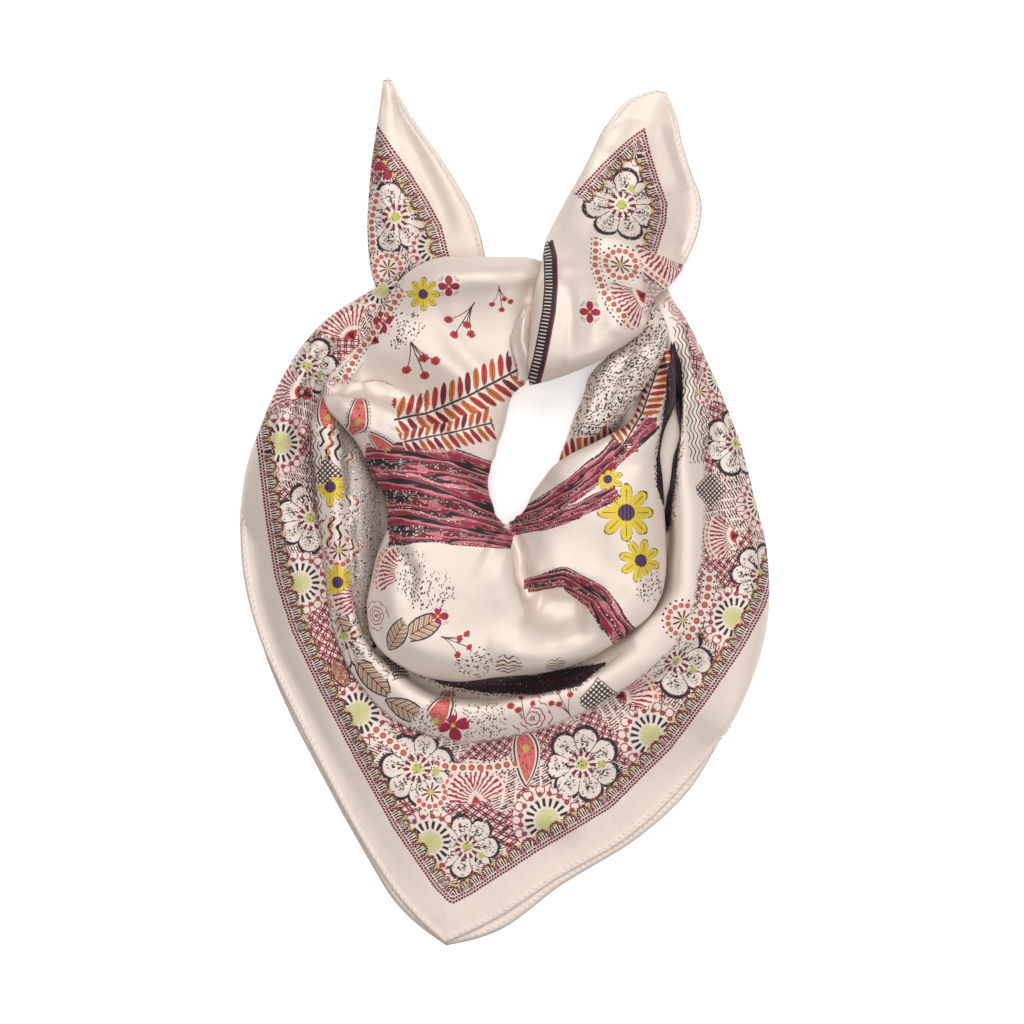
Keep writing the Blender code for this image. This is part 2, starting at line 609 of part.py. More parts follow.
for old in list(bpy.data.objects):
    bpy.data.objects.remove(old, do_unlink=True)
scarf = bpy.data.collections.new("silk_square_scarf")
bpy.context.scene.collection.children.link(scarf)

left_ear = cloth_wall("left_ear", sheet(EAR_COLUMNS, EAR_ROWS, 14, EAR_SPANS, crest_at=0.45), 0.98)
leaf = cloth_wall("under_leaf", sheet(LEAF_COLUMNS, LEAF_ROWS, 26, LEAF_SPANS, LEAF_CORNER, **LEAF_REST), 0.8)
front_grid, fold_grid = drape()
front = cloth_wall("front_panel", settled(front_grid, [leaf, left_ear], (0, 6)), 1.0)
fold = cloth_wall("middle_fold", fold_grid, 0.95)
loop_grid = creased(sheet(SHEET_COLUMNS, LOOP_ROWS, 76, LOOP_SPANS), LOOP_CREASES)
loop = cloth_wall("neck_loop", settled(loop_grid, [left_ear, leaf, front, fold], (6, 5)), 0.92)
band_grid = sheet(SHEET_COLUMNS, BAND_ROWS, 16, BAND_SPANS)
band = cloth_wall("right_neck_band", seated(band_grid, [fold, front, loop], edges=(4, 3), until=0.5), 0.85)
pleat_grid = sheet(PLEAT_COLUMNS, PLEAT_ROWS, 12, PLEAT_SPANS, crest_at=0.5)
pleat = cloth_wall("knot_pleat", seated(pleat_grid, [loop], edges=(2, 2)), 0.97)
knot_grid = sheet(KNOT_COLUMNS, KNOT_ROWS, 30, KNOT_SPANS, crest_at=0.5)
knot_grid = seated(knot_grid, [loop, band, pleat, front, fold], edges=(5, 5))
knot = cloth_wall("knot_and_right_ear", knot_grid, 0.99)
core = hidden_layers([left_ear, leaf, front, fold, loop, band, pleat, knot])
silk(core, 0.6)
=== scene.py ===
import math

import bmesh
import bpy
import numpy as np
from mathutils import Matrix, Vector, noise
from mathutils.bvhtree import BVHTree


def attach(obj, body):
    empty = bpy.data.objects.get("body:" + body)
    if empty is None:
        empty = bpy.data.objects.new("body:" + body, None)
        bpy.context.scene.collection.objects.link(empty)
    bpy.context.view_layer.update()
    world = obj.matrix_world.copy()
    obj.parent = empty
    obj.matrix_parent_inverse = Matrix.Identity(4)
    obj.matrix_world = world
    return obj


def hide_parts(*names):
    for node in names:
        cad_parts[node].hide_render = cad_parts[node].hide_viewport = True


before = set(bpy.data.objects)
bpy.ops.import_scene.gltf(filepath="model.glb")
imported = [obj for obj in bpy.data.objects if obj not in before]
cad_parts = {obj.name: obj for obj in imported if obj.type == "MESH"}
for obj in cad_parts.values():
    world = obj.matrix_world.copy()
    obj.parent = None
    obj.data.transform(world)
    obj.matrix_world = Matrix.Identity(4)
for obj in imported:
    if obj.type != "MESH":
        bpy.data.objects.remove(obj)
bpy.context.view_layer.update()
print("frame loaded:", sorted(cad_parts))

mm = 0.001
cadWall = 1.2
onTable = cadWall / 2 + 0.1  # height of a wall that lies on the table
onLeaf = onTable + cadWall + 0.3  # height of a wall that lies on the second leaf
pleatDepth = 13.0
restRoom = 1.2  # from the solid below to the middle of the wall that rests on it
roomReach = 2.5
steepest = 0.5  # least upward share of a slope that the room is widened for
seatGap = 0.45
offTable = 8.0
silkHalf = 0.2  # half the thickness that the silk is drawn with
lowestSilk = 0.62  # of the middle of any wall
farOff = 99.0
flatEdge = {"folds": 12, "rumple": 30, "sink": 28}  # how far from a free edge each has its whole effect

# The outer stretch and its pleat: from the left shoulder round the point to the knot.
drapeColumns = (
    "inX inY inZ inTurn foldX foldY ridgeZ foldZ pleat crestZ outX outY outZ outTurn"
)
drapeCorner = 20
drapeRows = [
    (28, 107, 6, -4, 28, 116, 10, 10, 0.0, 10, 28, 126, 8, 3),
    (8, 112, 7, -4, 8, 122, 12, 12, 0.0, 12, 8, 133, 9, 3),
    (-12, 114, 8, -4, -14, 124, 13, 13, 0.0, 13, -17, 135, 10, 3),
    (-29, 117, 9, -5, -34, 127, 14, 14, 0.0, 14, -39, 137, 11, 4),
    (-41, 107, 9, -6, -50, 116, 15, 16, 0.0, 15, -56, 131, 10, 6),
    (-53, 92, 9, -6, -64, 105, 16, 17, 0.0, 16, -73, 122, 9, 8),
    (-62, 79, 9, -6, -78, 92, 17, 18, 0.0, 17, -89, 112, 10, 9),
    (-70, 68, 9, -6, -90, 82, 18, 19, 0.0, 18, -103, 100, 10, 10),
    (-75, 61, 9, -6, -97, 71, 19, 20, 0.0, 19, -114, 86, 10, 10),
    (-76, 54, 8, -6, -101, 61, 19, 20, 0.15, 19, -125, 67, 10, 10),
    (-68, 40, 7, -6, -105, 51, 20, 19, 0.5, 19, -133, 48, 9, 10),
    (-62, 23, 6, -6, -103, 33, 21, 17, 0.9, 17, -141, 26, 7, 7),
    (-59, 7, 6, -6, -103, 12, 22, 16, 1.0, 14, -144, 7, 5, 2),
    (-59, -12, 6, -6, -100, -9, 22, 16, 1.0, 12, -145, -15, 3.0, -7),
    (-62, -34, 6, -6, -97, -35, 21, 16, 1.0, 11, -142, -42, 2.6, -8),
    (-62, -55, 6, -6, -94, -59, 21, 15, 1.0, 9, -133, -73, 2.6, -8),
    (-55, -70, 6, -6, -86, -82, 21, 15, 1.0, 8, -118, -106, 2.6, -9),
    (-45, -78, 6, -6, -73, -101, 22, 15, 1.0, 7, -99, -143, 2.6, -10),
    (-38, -84, 6, -6, -60, -113, 22, 15, 1.0, 6, -77, -183, 2.6, -12),
    (-30, -86, 6, -6, -45, -120, 23, 15, 1.0, 5.5, -53, -218, 2.6, -14),
    (-21, -86, 6, -6, -31, -124, 23, 15, 1.0, 5, -33, -237, 2.6, -16),
    (-12, -86, 6, -6, -16, -125, 23, 15, 1.0, 5.5, -9, -226, 2.6, -14),
    (0, -85, 6, -6, 3, -122, 24, 16, 1.0, 6, 28, -202, 2.6, -12),
    (17, -81, 6, -6, 25, -116, 24, 17, 0.9, 8, 70, -177, 3.0, -10),
    (33, -75, 6, -6, 44, -109, 24, 19, 0.6, 12, 106, -141, 4.0, -7),
    (48, -67, 7, -6, 62, -98, 24, 21, 0.25, 16, 130, -105, 6.5, 3),
    (62, -58, 8, -6, 80, -84, 24, 22, 0.0, 18, 142, -71, 8, 8),
    (78, -46, 8, -6, 99, -64, 24, 23, 0.0, 19, 145, -45, 9, 10),
    (84, -27, 8, -5, 105, -34, 24, 23, 0.0, 19, 143, -18, 10, 10),
    (86, -9, 9, -4, 106, -6, 24, 23, 0.0, 19, 136, 12, 10, 10),
    (88, 10, 11, 3, 103, 18, 24, 23, 0.0, 18, 127, 44, 10, 9),
    (90, 29, 12, 4, 102, 40, 23, 22, 0.0, 18, 117, 70, 9, 8),
    (94, 48, 12, 4, 102, 59, 22, 21, 0.0, 17, 109, 89, 9, 7),
    (89, 66, 7, 3, 99, 77, 17, 18, 0.0, 16, 102, 103, 8, 6),
    (82, 88, 5, 2, 93, 99, 13, 15, 0.0, 14, 95, 112, 7, 4),
    (76, 103, 4, 2, 87, 112, 11, 12, 0.0, 12, 90, 121, 6, 3),
    (73, 114, 4, 2, 81, 121, 10, 10, 0.0, 10, 87, 128, 5, 3),
]

# The pleat's turns: share of the way to the crest where it has faded, and how far back and down it goes.
pleatTurns = [
    (0.0, 0.0, 0.0),
    (0.2, 5.0, 3.6),
    (0.45, pleatDepth, 5.4),
    (0.75, 3.5, 8.4),
]
drapeSpans = (1, 1, 2, 2, 2, 2, 1, 2, 2, 3, 2)

# A stretch with two edges and a crest between them.
sheetColumns = "inX inY inZ inTurn inLow crestAt crestZ outX outY outZ outTurn outLow"

loopSpans = (3, 2, 3, 3, 2, 2)

# Round the neck: from the knot over the back, down the left side, across the front and up again.
loopRows = [
    (15, 77, 20, 7, 6, 0.5, 29, 28, 134, 16, 7, 6),
    (11, 70, 20, 7, 5, 0.5, 29, 14, 138, 15, 8, 5),
    (5, 65, 20, 7, 4, 0.5, 29, -2, 138, 14, 8, 4),
    (2, 56, 20, 8, 3, 0.5, 29, -20, 139, 14, 8, 3),
    (0, 48, 20, 8, 3, 0.5, 29, -38, 138, 14, 8, 5),
    (-2, 42, 20, 8, 3, 0.5, 30, -53, 130, 19, 7, 13),
    (-4, 37, 20, 8, 3, 0.5, 30, -66, 114, 21, 6, 16),
    (-5, 31, 20, 8, 3, 0.5, 30, -77, 95, 22, 6, 17),
    (-7, 27, 20, 8, 3, 0.5, 31, -89, 79, 23, 5, 18),
    (-8, 22, 20, 8, 3, 0.5, 31, -99, 65, 24, 5, 20),
    (-9, 18, 20, 8, 3, 0.5, 32, -88, 51, 24, 5, 17),
    (-9, 13, 20, 8, 3, 0.5, 32, -80, 38, 22, 6, 12),
    (-8, 9, 21, 8, 3, 0.45, 33, -73, 22, 20, 7, 10),
    (-6, 4, 21, 8, 3, 0.45, 33, -65, 7, 19, 8, 9),
    (-5, 0, 21, 8, 3, 0.45, 33, -64, -4, 19, 8, 9),
    (-4, -2, 21, 7, 3, 0.45, 34, -68, -18, 19, 8, 9),
    (-3, -3, 21, 7, 3, 0.5, 35, -73, -37, 19, 8, 9),
    (-2, -4, 21, 7, 3, 0.5, 36, -75, -51, 19, 8, 9),
    (-1, -5, 21, 7, 3, 0.5, 36, -70, -71, 19, 9, 9),
    (0, -5, 21, 7, 3, 0.55, 36, -59, -82, 20, 9, 9),
    (1, -5, 21, 7, 3, 0.55, 36, -44, -89, 20, 9, 9),
    (2, -4, 21, 7, 3, 0.6, 35, -28, -92, 20, 9, 9),
    (4, -3, 21, 7, 3, 0.6, 34, -8, -90, 20, 9, 9),
    (6, -1, 21, 7, 3, 0.6, 33, 22, -87, 20, 9, 9),
    (8, 0, 21, 7, 3, 0.6, 32, 40, -81, 20, 9, 9),
    (11, 4, 21, 7, 3, 0.6, 32, 56, -71, 20, 9, 9),
    (14, 9, 22, 7, 3, 0.55, 32, 76, -59, 20, 8, 11),
    (17, 13, 23, 7, 3, 0.5, 33, 85, -46, 20, 7, 12),
    (21, 18, 24, 7, 4, 0.45, 34, 88, -32, 20, 6, 12),
    (24, 22, 26, 6, 14, 0.4, 34, 88, -15, 20, 6, 12),
    (28, 26, 28, 4, 23, 0.35, 34, 87, 1, 20, 6, 12),
    (37, 32, 29, 4, 24, 0.35, 34, 86, 18, 20, 6, 12),
    (47, 37, 29, 4, 24, 0.35, 33, 85, 34, 19, 6, 11),
    (58, 43, 28, 4, 23, 0.35, 31, 88, 46, 18, 5, 11),
    (67, 48, 24, 4, 19, 0.45, 27, 92, 56, 17, 4, 11),
    (73, 59, 17, 3, 12, 0.5, 21, 93, 68, 15, 3, 11),
    (76, 73, 14, 3, 10, 0.5, 18, 91, 82, 13, 3, 9),
    (77, 86, 12, 3, 8, 0.5, 15, 88, 92, 11, 3, 8),
]

# Creases of the loop: (depth at its first point, depth at its last, width) and its line on the plan.
# A trough has a negative depth.
loopCreases = {
    "corner": ((-6.0, -0.5, 4.5), [(-96, 64), (-73, 63), (-56, 58), (-42, 51), (-24, 40)]),
    "leftSide": ((-3.0, -1.0, 6.0), [(-66, -2), (-53, -21), (-47, -33), (-50, -50)]),
    "apex": ((-4.0, -4.5, 6.0), [(-1, -8), (4, -22), (5, -34), (10, -46)]),
    "pocket": ((-3.5, -3.5, 13.0), [(12, -50), (26, -58), (36, -58)]),
    "frontRoll": ((1.5, 1.5, 8.0), [(-44, -76), (-20, -81), (0, -80), (24, -76)]),
}

# The inner band at the right of the neck: out from under the knot, and in under the front.
bandRows = [
    (69, 104, 16, 3, 13, 0.5, 20, 81, 117, 15, 3, 12),
    (66, 96, 18, 4, 14, 0.5, 23, 87, 106, 17, 4, 14),
    (61, 90, 19, 5, 14, 0.5, 26, 89, 99, 19, 4, 15),
    (56, 84, 20, 6, 12, 0.5, 29, 88, 92, 22, 4, 18),
    (47, 75, 20, 6, 8, 0.5, 30, 85, 82, 23, 4, 19),
    (43, 63, 19, 6, 6, 0.5, 29, 77, 70, 23, 4, 19),
    (38, 51, 18, 6, 5, 0.5, 28, 69, 58, 22, 4, 17),
    (34, 40, 16, 6, 4, 0.5, 24, 62, 47, 17, 4, 12),
    (30, 30, 13, 5, 4, 0.5, 19, 55, 38, 13, 4, 8),
    (29, 22, 11, 5, 4, 0.5, 15, 48, 30, 10, 4, 6),
]

bandSpans = (2, 1, 2, 2, 1, 1)

# The right end, from its corner down over the knot, and turned in at the neck hole.
knotColumns = "inX inY outX outY inZ crestZ outZ inTurn outTurn bow"
knotRows = [
    (82, 232, 89, 231, 0.8, 1.0, 0.8, -1, -1, 0),
    (70, 228, 94, 220, 0.8, 2.0, 0.8, -3, -3, 0),
    (59, 217, 98, 202, 1.5, 3.5, 1.2, -4, -5, 0),
    (50, 202, 103, 186, 3.0, 6.5, 1.6, 3, -6, 0),
    (42, 187, 108, 172, 5.0, 10, 2.4, 6, -6, 0),
    (34, 172, 107, 156, 7.5, 15, 4.5, 7, -6, 0),
    (27, 158, 102, 143, 12, 21, 9, 8, -5, 0),
    (22, 147, 95, 130, 17, 27, 15, 8, 3, 0),
    (20, 134, 88, 122, 22, 33, 20, 8, 6, 0),
    (17, 122, 82, 117, 29, 40, 25, 6, 7, -1),
    (15, 106, 79, 110, 32, 44, 28, 5, 7, -1.5),
    (14, 89, 77, 104, 33, 45, 29, 4, 5, -2.5),
    (13.5, 76, 76, 101, 31, 42, 28, 0, 0, -3.5),
    (13.5, 69, 75, 98, 25, 34, 25, -2, -2, -4),
]

knotSpans = (2, 2, 2, 2, 2, 2)

# The left end, which comes out from under the back of the loop.
earColumns = "inX inY outX outY inZ crestZ outZ inTurn outTurn"
earRows = [
    (-67, 238, -62, 238, 0.8, 0.9, 0.8, -0.6, -0.6),
    (-68, 227, -56, 226, 1.2, 2.4, 0.8, -0.5, -3),
    (-70, 211, -45, 209, 2.2, 4.6, 0.9, 3, -5),
    (-72, 197, -35, 195, 2.8, 6.0, 1.0, 4, -6),
    (-74, 180, -25, 179, 3.0, 6.5, 1.2, 5, -7),
    (-75, 164, -17, 164, 3.0, 6.0, 1.4, 5, -7),
    (-75, 150, -12, 148, 2.8, 5.0, 1.4, 5, -7),
    (-74, 138, -10, 133, 2.4, 3.4, 1.4, 5, -7),
    (-72, 128, -11, 124, 2.0, 2.4, 1.4, 5, -7),
    (-66, 114, -11, 112, 1.4, 1.6, 1.2, 4, -5),
]

earSpans = (1, 2, 2, 2, 2, 1)

# The pleat that the knot pinches out of the back.
pleatColumns = "inX inY outX outY inZ crestZ outZ inTurn outTurn"
pleatRows = [
    (11.5, 112, 15, 113, 31, 32.0, 31, 0.5, -1),
    (9.5, 107, 16.5, 108, 32.5, 34.0, 32, 1, -1),
    (5.5, 100, 18, 102, 33, 36.0, 33, 2, -2),
    (3.2, 93.5, 18, 95, 33, 36.5, 33, 2, -2),
    (4.6, 86.5, 18, 88, 32, 35.5, 32, 2, -2),
    (7.2, 78, 18, 80, 29, 32.5, 30, 2, -2),
    (7.4, 71, 17, 73, 26, 29.5, 27, 2, -2),
]

pleatSpans = (1, 1, 1, 1, 1, 1)

# The second leaf of the folded square, which shows past the first along its hems.
leafColumns = "inX inY outX outY"
leafCorner = 6
leafRows = [
    (-119, -46, -141, -33),
    (-104, -80, -134, -70),
    (-90, -109, -120, -106),
    (-79, -142, -101, -143),
    (-60, -175, -79, -183),
    (-41, -199, -54, -221),
    (-29, -208, -32, -238),
    (-16, -202, -8, -232),
    (14, -186, 31, -205),
    (53, -158, 77, -176),
    (83, -128, 105, -148),
    (96, -112, 119, -124),
]

leafSpans = (1, 1, 1, 1, 1, 1)
leafRest = {
    "inZ": onTable, "inTurn": -3, "inLow": onTable, "crestAt": 0.5, "crestZ": onTable,
    "outZ": onTable, "outTurn": -4, "outLow": onTable,
}


# A table as one array for each named column; shared holds what all its rows have alike.
def columns(names, rows, **shared):
    table = {name: np.array(cells, float) for name, cells in zip(names.split(), zip(*rows))}
    for name, value in shared.items():
        table[name] = np.full(len(rows), float(value))
    return table


# Smooth curves through points that lie gaps apart, read at a share t of each span.
def readCurve(points, gaps, span, t):
    chords = np.diff(points, axis=0) / gaps
    slopes = np.empty_like(points)
    slopes[1:-1] = (chords[:-1] * gaps[1:] + chords[1:] * gaps[:-1]) / (gaps[:-1] + gaps[1:])
    slopes[0] = chords[0]
    slopes[-1] = chords[-1]
    gap = gaps[span]
    start = (2 * t**3 - 3 * t**2 + 1) * points[span] + (t**3 - 2 * t**2 + t) * gap * slopes[span]
    end = (3 * t**2 - 2 * t**3) * points[span + 1] + (t**3 - t**2) * gap * slopes[span + 1]
    return start + end


# A curve through points, which it meets at knots, read at places.
def smoothThrough(points, knots, places):
    points = np.asarray(points, float)
    gaps = np.diff(knots)[:, None]
    span = np.clip(np.searchsorted(knots, places, side="right") - 1, 0, len(knots) - 2)
    return readCurve(points, gaps, span, ((places - knots[span])[:, None]) / gaps[span])


pace = {"in": 0.3, "out": 0.7, "least": 0.5}  # how much of each edge's length counts along a stretch


# The table read smoothly at count places from its first row to its last. A corner row stays sharp.
def alongStretch(table, count, corner=None):
    names = list(table)
    rows = np.stack([table[name] for name in names], axis=1)
    where = {name: i for i, name in enumerate(names)}
    movedIn = np.hypot(np.diff(rows[:, where["inX"]]), np.diff(rows[:, where["inY"]]))
    movedOut = np.hypot(np.diff(rows[:, where["outX"]]), np.diff(rows[:, where["outY"]]))
    knots = np.concatenate([[0], np.cumsum(pace["in"] * movedIn + pace["out"] * movedOut + pace["least"])])
    if corner is None:
        read = smoothThrough(rows, knots, np.linspace(knots[0], knots[-1], count))
    else:
        before = max(3, round(count * knots[corner] / knots[-1]))
        first = np.linspace(knots[0], knots[corner], before)
        second = np.linspace(knots[corner], knots[-1], count - before + 1)
        read = np.concatenate(
            [
                smoothThrough(rows[: corner + 1], knots[: corner + 1], first),
                smoothThrough(rows[corner:], knots[corner:], second)[1:],
            ]
        )
    return {name: read[:, i] for i, name in enumerate(names)}


# Grid of points: one row for each section. controls are (across, height) pairs of arrays.
def loft(table, controls, spans):
    start = np.stack([table["inX"], table["inY"]], axis=1)
    across = np.stack([table["outX"], table["outY"]], axis=1) - start
    width = np.linalg.norm(across, axis=1)
    across /= width[:, None]
    aside = np.stack([-across[:, 1], across[:, 0]], axis=1)
    bow = table.get("bow", np.zeros(len(width)))
    marks = np.concatenate([np.linspace(i, i + 1, n + 1)[:-1] for i, n in enumerate(spans)] + [[len(spans)]])
    grid = np.empty((len(width), len(marks), 3))
    for i in range(len(width)):
        points = np.array([(d[i], z[i]) for d, z in controls])
        knots = np.concatenate([[0], np.cumsum(np.linalg.norm(np.diff(points, axis=0), axis=1) + 0.2)])
        section = smoothThrough(points, knots, np.interp(marks, range(len(knots)), knots))
        share = np.clip(section[:, 0] / width[i], 0, 1)
        grid[i, :, :2] = start[i] + section[:, :1] * across[i]
        grid[i, :, :2] += (4 * share * (1 - share) * bow[i])[:, None] * aside[i]
        grid[i, :, 2] = section[:, 1]
    return grid


edgeShape = {"fullness": 0.52, "withTurn": 0.24, "wholeTurn": 6, "shoulder": 0.3}
drapeShape = {"ridge": 0.5, "crest": 0.42, "innerFall": 1.5}  # ridge and crest as shares of their spans
turnFall = {"least": 0.1, "rolled": 2.5, "flatTurn": 3, "deeper": 0.4, "most": 5}  # of a turned edge


# End, edge and shoulder of a section. A positive turn goes back under, a negative one lies flat.
def edgeControls(turn, low, edgeZ, beside, besideZ):
    edge = -np.minimum(turn, 0)
    end = np.maximum(turn, 0)
    fullness = edgeShape["fullness"] + edgeShape["withTurn"] * np.clip(turn / edgeShape["wholeTurn"], -1, 1)
    shoulder = edge + edgeShape["shoulder"] * (beside - edge)
    return [(end, low), (edge, edgeZ), (shoulder, edgeZ + fullness * (besideZ - edgeZ))]


def mirrored(controls, width):
    return [(width - across, z) for across, z in reversed(controls)]


def sheetSections(table):
    width = np.hypot(table["outX"] - table["inX"], table["outY"] - table["inY"])
    crest = table["crestAt"] * width
    crestZ = table["crestZ"]
    left = edgeControls(table["inTurn"], table["inLow"], table["inZ"], crest, crestZ)
    right = edgeControls(table["outTurn"], table["outLow"], table["outZ"], width - crest, crestZ)
    return left + [(crest, crestZ)] + mirrored(right, width)


# Inner edge, ridge, pleat turned under at the fold line, crest and outer edge.
def drapeSections(table):
    width = np.hypot(table["outX"] - table["inX"], table["outY"] - table["inY"])
    fold = np.hypot(table["foldX"] - table["inX"], table["foldY"] - table["inY"])
    ridge = drapeShape["ridge"] * fold
    crest = fold + drapeShape["crest"] * (width - fold)
    pleat = np.clip(table["pleat"], 0, 1)
    foldZ = table["foldZ"]
    crestZ = table["crestZ"]
    innerZ = table["inZ"] - drapeShape["innerFall"]
    left = edgeControls(table["inTurn"], innerZ, table["inZ"], ridge, table["ridgeZ"])
    endZ = np.where(table["outTurn"] > 0, onTable, onLeaf)
    right = edgeControls(table["outTurn"], endZ, table["outZ"], width - crest, crestZ)
    middle = [
        (
            fold + (1 - pleat) * share * (crest - fold) - pleat**2 * back,
            foldZ - pleat**0.4 * drop + (1 - pleat) * share * (crestZ - foldZ),
        )
        for share, back, drop in pleatTurns
    ]
    return left + [(ridge, table["ridgeZ"])] + middle + [(crest, crestZ)] + mirrored(right, width)


def blurred(values):
    padded = np.pad(values, 1, mode="edge")
    return (
        padded[:-2, 1:-1] + padded[2:, 1:-1] + padded[1:-1, :-2] + padded[1:-1, 2:] + 4 * values
    ) / 8


# The place itself and 16 round it, at half the reach and at the whole of it, in metres.
def placesRound(x, y, reach):
    yield Vector((x * mm, y * mm, 0))
    for turn in range(16):
        angle = turn * math.pi / 4
        out = reach if turn < 8 else reach / 2
        yield Vector(((x + out * math.cos(angle)) * mm, (y + out * math.sin(angle)) * mm, 0))


# Height that a wall's middle needs at x, y to clear the solids of the tree, within roomReach all round.
def heightBelow(tree, x, y):
    highest = 0.0
    for turn, foot in enumerate(placesRound(x, y, roomReach)):
        place, normal, _, _ = tree.ray_cast(foot + Vector((0, 0, 0.2)), Vector((0, 0, -1)))
        if place is not None:
            room = restRoom if turn else restRoom / max(abs(normal.z), steepest)
            highest = max(highest, place.z / mm + room)
    return highest


# The grid raised, smoothly, to lie clear of the solids below it, up to a share of its length.
# edges: how many points at each side rise together, so that a turned edge keeps its shape.
def settled(grid, below, edges=(0, 0), until=1.0):
    tree = surfaceOf(below)
    need = np.zeros(grid.shape[:2])
    for i, j in np.ndindex(need.shape):
        if i <= until * len(grid):
            x, y, z = grid[i, j]
            need[i, j] = max(0.0, heightBelow(tree, x, y) - z)
    for band in (slice(0, edges[0]), slice(len(grid[0]) - edges[1], None)):
        if need[:, band].size:
            need[:, band] = need[:, band].max(axis=1, keepdims=True)
    beside = np.pad(need, ((1, 1), (0, 0)), mode="edge")
    need = np.maximum(need, np.maximum(beside[:-2], beside[2:]))
    lift = need.copy()
    for _ in range(8):
        lift = np.maximum(need, blurred(lift))
    out = grid.copy()
    out[:, :, 2] = np.maximum(out[:, :, 2] + lift, onTable)
    return out


# The grid settled on the solids below, then let down, where it is off the table, until it meets them.
def seated(grid, below, **how):
    out = settled(grid, below, **how)
    tree = surfaceOf(below)
    nearest = min(tree.find_nearest(Vector(p) * mm)[3] for p in out.reshape(-1, 3)) / mm
    offTableShare = np.clip((out[:, :, 2].min(axis=1) - onTable) / offTable, 0, 1)
    out[:, :, 2] -= max(0.0, nearest - cadWall / 2 - seatGap) * offTableShare[:, None]
    return out


# The grid with soft troughs and ridges along the given lines.
def creased(grid, creases):
    out = grid.copy()
    for (depth, endDepth, width), line in creases.values():
        off, along = nearLine(grid, line)
        out[:, :, 2] += (depth + (endDepth - depth) * along) * np.exp(-((off / width) ** 2))
    return out


def sheet(names, rows, count, spans, corner=None, **shared):
    table = columns(names, rows, **shared)
    for side in ("in", "out"):
        if side + "Low" not in table:
            turn = table[side + "Turn"]
            rolled = np.clip(1 + turn / turnFall["flatTurn"], 0, 1)
            fall = turnFall["least"] + turnFall["rolled"] * rolled
            fall = fall + turnFall["deeper"] * np.clip(turn, 0, turnFall["most"])
            table[side + "Low"] = np.maximum(onTable, table[side + "Z"] - fall)
    table = alongStretch(table, count, corner)
    return loft(table, sheetSections(table), spans)


# Curves through points, one for each column, read at fractional rows.
def splineRows(points, marks):
    gaps = np.linalg.norm(np.diff(points, axis=0), axis=2)[..., None] + 1e-4
    span = np.clip(np.floor(marks).astype(int), 0, len(points) - 2)
    return readCurve(points, gaps, span, (marks - span)[:, None, None])


# Fractional rows that part the rows evenly, as the mean of all columns has it.
def evenMarks(points, step, power=1.0):
    moved = np.linalg.norm(np.diff(points, axis=0), axis=2)
    length = (moved**power).mean(axis=1) ** (1 / power)
    total = np.concatenate([[0], np.cumsum(length + 0.05)])
    count = max(3, round(total[-1] / step) + 1)
    return np.interp(np.linspace(0, total[-1], count), total, range(len(total)))


rowPower = 3  # rows are parted by where the cloth is longest, more than by its mean


def finer(grid, along, across, corner=None):
    turned = grid.transpose(1, 0, 2)
    fine = splineRows(turned, evenMarks(turned, across)).transpose(1, 0, 2)
    runs = [fine] if corner is None else [fine[: corner + 1], fine[corner:]]
    rows = [splineRows(run, evenMarks(run, along, rowPower)) for run in runs]
    return np.concatenate(rows[:1] + [run[1:] for run in rows[1:]])


def normalsOf(grid):
    normal = np.cross(np.gradient(grid, axis=1), np.gradient(grid, axis=0))
    normal /= np.linalg.norm(normal, axis=2)[..., None] + 1e-9
    return normal


# Distance of each point of the grid from its edge of that side, along the cloth.
def awayFrom(grid, side):
    moved = np.linalg.norm(np.diff(grid, axis=1), axis=2)
    start = np.zeros((len(grid), 1))
    if side == "in":
        return np.concatenate([start, np.cumsum(moved, axis=1)], axis=1)
    return np.concatenate([np.cumsum(moved[:, ::-1], axis=1)[:, ::-1], start], axis=1)


# How near each point of the plan is to a line, and how far along the line: (distance, share).
def nearLine(grid, line):
    line = np.array(line, float)
    plan = grid[..., : line.shape[1]]
    nearest = np.full(grid.shape[:2], np.inf)
    along = np.zeros(grid.shape[:2])
    for k, (start, end) in enumerate(zip(line[:-1], line[1:])):
        step = end - start
        share = np.clip(((plan - start) @ step) / (step @ step), 0, 1)
        off = np.linalg.norm(plan - start - share[..., None] * step, axis=2)
        along = np.where(off < nearest, (k + share) / (len(line) - 1), along)
        nearest = np.minimum(off, nearest)
    return nearest, along


# Signed distance of each point of the plan from a line, and the length along it.
def besideLine(grid, line):
    line = np.array(line, float)
    plan = grid[..., :2]
    nearest = np.full(grid.shape[:2], np.inf)
    signed = np.zeros(grid.shape[:2])
    along = np.zeros(grid.shape[:2])
    passed = 0.0
    for start, end in zip(line[:-1], line[1:]):
        step = end - start
        length = np.linalg.norm(step)
        share = np.clip(((plan - start) @ step) / length**2, 0, 1)
        apart = plan - start - share[..., None] * step
        off = np.linalg.norm(apart, axis=2)
        side = np.sign(step[0] * apart[..., 1] - step[1] * apart[..., 0])
        closer = off < nearest
        signed = np.where(closer, off * side, signed)
        along = np.where(closer, passed + share * length, along)
        nearest = np.minimum(off, nearest)
        passed += length
    return signed, along


foldEnds = {"folds": 6, "steps": 5, "power": 0.7}  # how fast each fades in from its ends
foldPower = {"crisp": 1.15, "soft": 2.0}


# Folds and creases as heights on the cloth: soft ones are rounded, crisp ones come to an edge.
def relief(grid, folds):
    height = np.zeros(grid.shape[:2])
    for depth, endDepth, width, crisp, line in folds:
        off, along = nearLine(grid, line)
        fade = np.clip(np.minimum(along, 1 - along) * foldEnds["folds"], 0, 1) ** foldEnds["power"]
        profile = np.exp(-((off / width) ** foldPower["crisp" if crisp else "soft"]))
        height += (depth + (endDepth - depth) * along) * profile * fade
    return height


